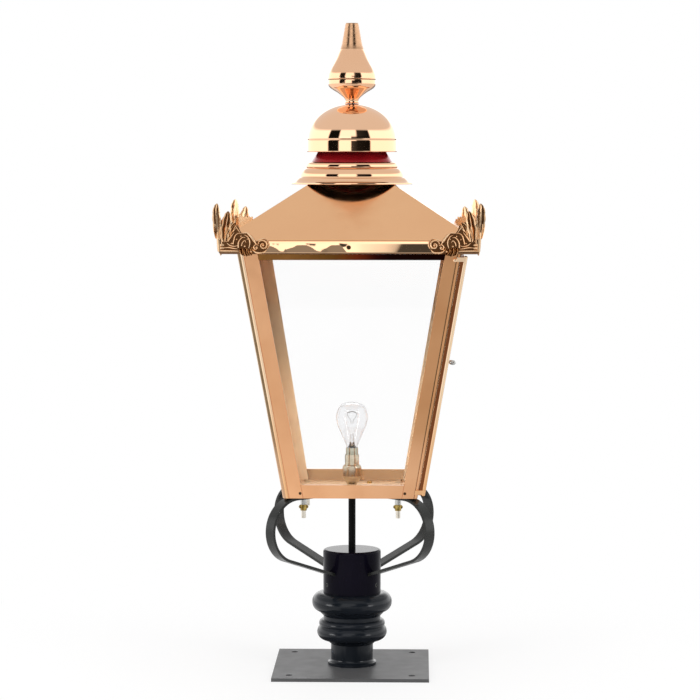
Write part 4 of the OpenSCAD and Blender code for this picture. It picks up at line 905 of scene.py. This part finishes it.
def world():
    """A white studio, where polished metal mirrors a grey ceiling and two dark gaps beside the camera."""
    studio = bpy.data.worlds.new("studio")
    scene.world = studio
    tree = Tree(studio)
    soft = tree.feed(tree.nodes["Background"], {"Color": rgba(1.0), "Strength": AMBIENT})[0]
    white = tree.new("Background", {"Color": rgba(1.0), "Strength": 1.0})[0]
    view = tree.split(tree.coordinate("Generated"))
    azimuth = tree.calculate("ARCTAN2", view["X"], tree.calculate("MULTIPLY", view["Y"], -1))
    low, high = [tree.ramp(azimuth, [(math.radians(turn), level) for turn, level in stops], -math.pi, math.pi)
                 for stops in (LOW_WALLS, HIGH_WALLS)]
    walls = tree.mix(tree.remap(view["Z"], HIGH_START, HIGH_END, ease="SMOOTHSTEP"), low, high)
    slope = tree.calculate("MULTIPLY_ADD", view["Y"], BACK_DROP, view["Z"])
    above = tree.remap(slope, CEILING_START, CEILING_END, ease="SMOOTHSTEP")
    room = tree.mix(above, walls, rgba(CEILING_LEVEL / WALL_LEVEL))
    mirrored = tree.new("Background", {"Color": room, "Strength": WALL_LEVEL})[0]
    light = tree.mix_shaders(tree.ray("Glossy"), soft, mirrored)
    tree.feed(tree.nodes["World Output"], {"Surface": tree.mix_shaders(tree.seen(), light, white)})


# What polished metal sees of the floor is painted light and shade: levels by distance in metres, and a plain
# level at the sides
FLOOR_SPAN = 20.0
FLOOR_LEVELS = [(0, 0.12), (0.40, 0.14), (0.62, 0.95), (0.80, 0.95), (1.05, 0.82), (2.1, 0.78), (3.2, 0.24),
                (5, 0.28), (14, 0.27), (20, 0.3)]
FLOOR_SIDES = 0.95
# The floor turns dim before and behind the object as y goes from one share of the distance to the other
SECTOR_START, SECTOR_END = 0.8, 0.92
# The painted light is stronger on the left than on the right, and the two meet over this half width
LEFT_LIGHT, RIGHT_LIGHT, MEET_HALF = 1.16, 0.94, 0.15
# The camera sees the lit paper near the object, and plain white from the far distance on
NEAR, FAR, NEAR_WHITE = 0.15, 1.0, 0.75


def floor_paper():
    """White paper to the camera, and to polished metal a floor with painted light and shade, paler where the
    lamps fall.
    """
    material = bpy.data.materials.new("floor_paper")
    tree = Tree(material)
    paper = tree.feed(tree.nodes["Principled BSDF"], {"Base Color": rgba(0.86), "Roughness": 0.9,
                                                      "Specular IOR Level": 0.0})[0]
    place = tree.coordinate("Object")
    away = tree.new("VectorMath", {0: place}, operation="LENGTH")["Value"]
    seen = tree.seen()
    plain = tree.calculate("MULTIPLY", seen, tree.remap(away, NEAR, FAR, NEAR_WHITE, 1.0, "SMOOTHSTEP"))
    white = tree.new("Emission", {"Color": rgba(1.0), "Strength": 1.0})[0]
    paper = tree.mix_shaders(plain, paper, white)
    # Only the floor before and behind the object is dim, and not the floor beside it
    sides = tree.split(place)
    ahead = tree.calculate("ABSOLUTE", tree.calculate("DIVIDE", sides["Y"], away))
    sector = tree.remap(ahead, SECTOR_START, SECTOR_END, ease="SMOOTHSTEP")
    colour = tree.mix(sector, rgba(FLOOR_SIDES), tree.ramp(away, FLOOR_LEVELS, 0, FLOOR_SPAN))
    strength = tree.remap(sides["X"], -MEET_HALF, MEET_HALF, LEFT_LIGHT, RIGHT_LIGHT, "SMOOTHSTEP")
    lit = tree.new("Emission", {"Color": colour, "Strength": strength})[0]
    mirrored = tree.calculate("SUBTRACT", tree.ray("Glossy"), seen, clamp=True)
    tree.feed(tree.nodes["Material Output"], {"Surface": tree.mix_shaders(mirrored, paper, lit)})
    return material


def floor():
    """A wide round floor just under the base plate."""
    bm = bmesh.new()
    bmesh.ops.create_circle(bm, cap_ends=True, segments=96, radius=40)
    mesh = bpy.data.meshes.new("floor")
    bm.to_mesh(mesh)
    bm.free()
    mesh.materials.append(floor_paper())
    o = bpy.data.objects.new("floor", mesh)
    scene.collection.objects.link(o)
    o.location.z = -0.0005


LAMP_AIM = Vector((0, 0, 0.6))


def lamp(name, azimuth, elevation, distance, width, height, power):
    """A softbox that polished metal doesn't mirror."""
    a, e = math.radians(azimuth), math.radians(elevation)
    away = Vector((math.sin(a) * math.cos(e), -math.cos(a) * math.cos(e), math.sin(e)))
    data = bpy.data.lights.new(name, "AREA")
    data.shape = "RECTANGLE"
    data.size = width
    data.size_y = height
    data.energy = power
    o = bpy.data.objects.new(name, data)
    scene.collection.objects.link(o)
    o.location = LAMP_AIM + away * distance
    o.rotation_mode = "QUATERNION"
    o.rotation_quaternion = (-away).to_track_quat("-Z", "Y")
    o.visible_glossy = False
    return o


def gleam(name, azimuth, elevation, distance, width, height, power):
    """A small softbox whose soft highlight falls on the black column alone."""
    o = lamp(name, azimuth, elevation, distance, width, height, power)
    o.visible_glossy = True
    o.visible_camera = False
    group = bpy.data.collections.new(name)
    group.objects.link(nodes["column"])
    o.light_linking.receiver_collection = group


world()
floor()
lamp("softbox_left", -48, 22, 3.6, 1.1, 1.9, 52)
lamp("softbox_right", 50, 22, 3.6, 1.1, 1.9, 42)
lamp("softbox_back", 180, 45, 4.0, 2.0, 1.5, 30)
lamp("softbox_top", 10, 86, 3.2, 2.4, 2.4, 40)
gleam("gleam_left", -66, -7, 2.6, 0.9, 0.55, 14)
gleam("gleam_right", 56, -7, 2.6, 0.7, 0.55, 8)

# Camera: its lens and shift in pixels of the photograph, which is square, and its place in metres
PICTURE = 700
FOCAL_LENGTH = 2600
SHIFT = -2
SENSOR = 36
DISTANCE = 4.621
EYE_HEIGHT = 0.915
TURN_ANGLE = math.radians(1.46)
TILT_ANGLE = math.radians(4.254)
lens = bpy.data.cameras.new("camera")
lens.sensor_width = SENSOR
lens.lens = FOCAL_LENGTH / PICTURE * SENSOR
lens.shift_x = SHIFT / PICTURE
lens.clip_start = 0.1
lens.clip_end = 200
camera = bpy.data.objects.new("camera", lens)
scene.collection.objects.link(camera)
aside, ahead = math.sin(TURN_ANGLE), math.cos(TURN_ANGLE)
camera.location = (DISTANCE * aside, -DISTANCE * ahead, EYE_HEIGHT)
camera.rotation_mode = "QUATERNION"
look = Vector((-aside * math.cos(TILT_ANGLE), ahead * math.cos(TILT_ANGLE), -math.sin(TILT_ANGLE)))
camera.rotation_quaternion = look.to_track_quat("-Z", "Y")
scene.camera = camera

scene.view_settings.view_transform = "Standard"
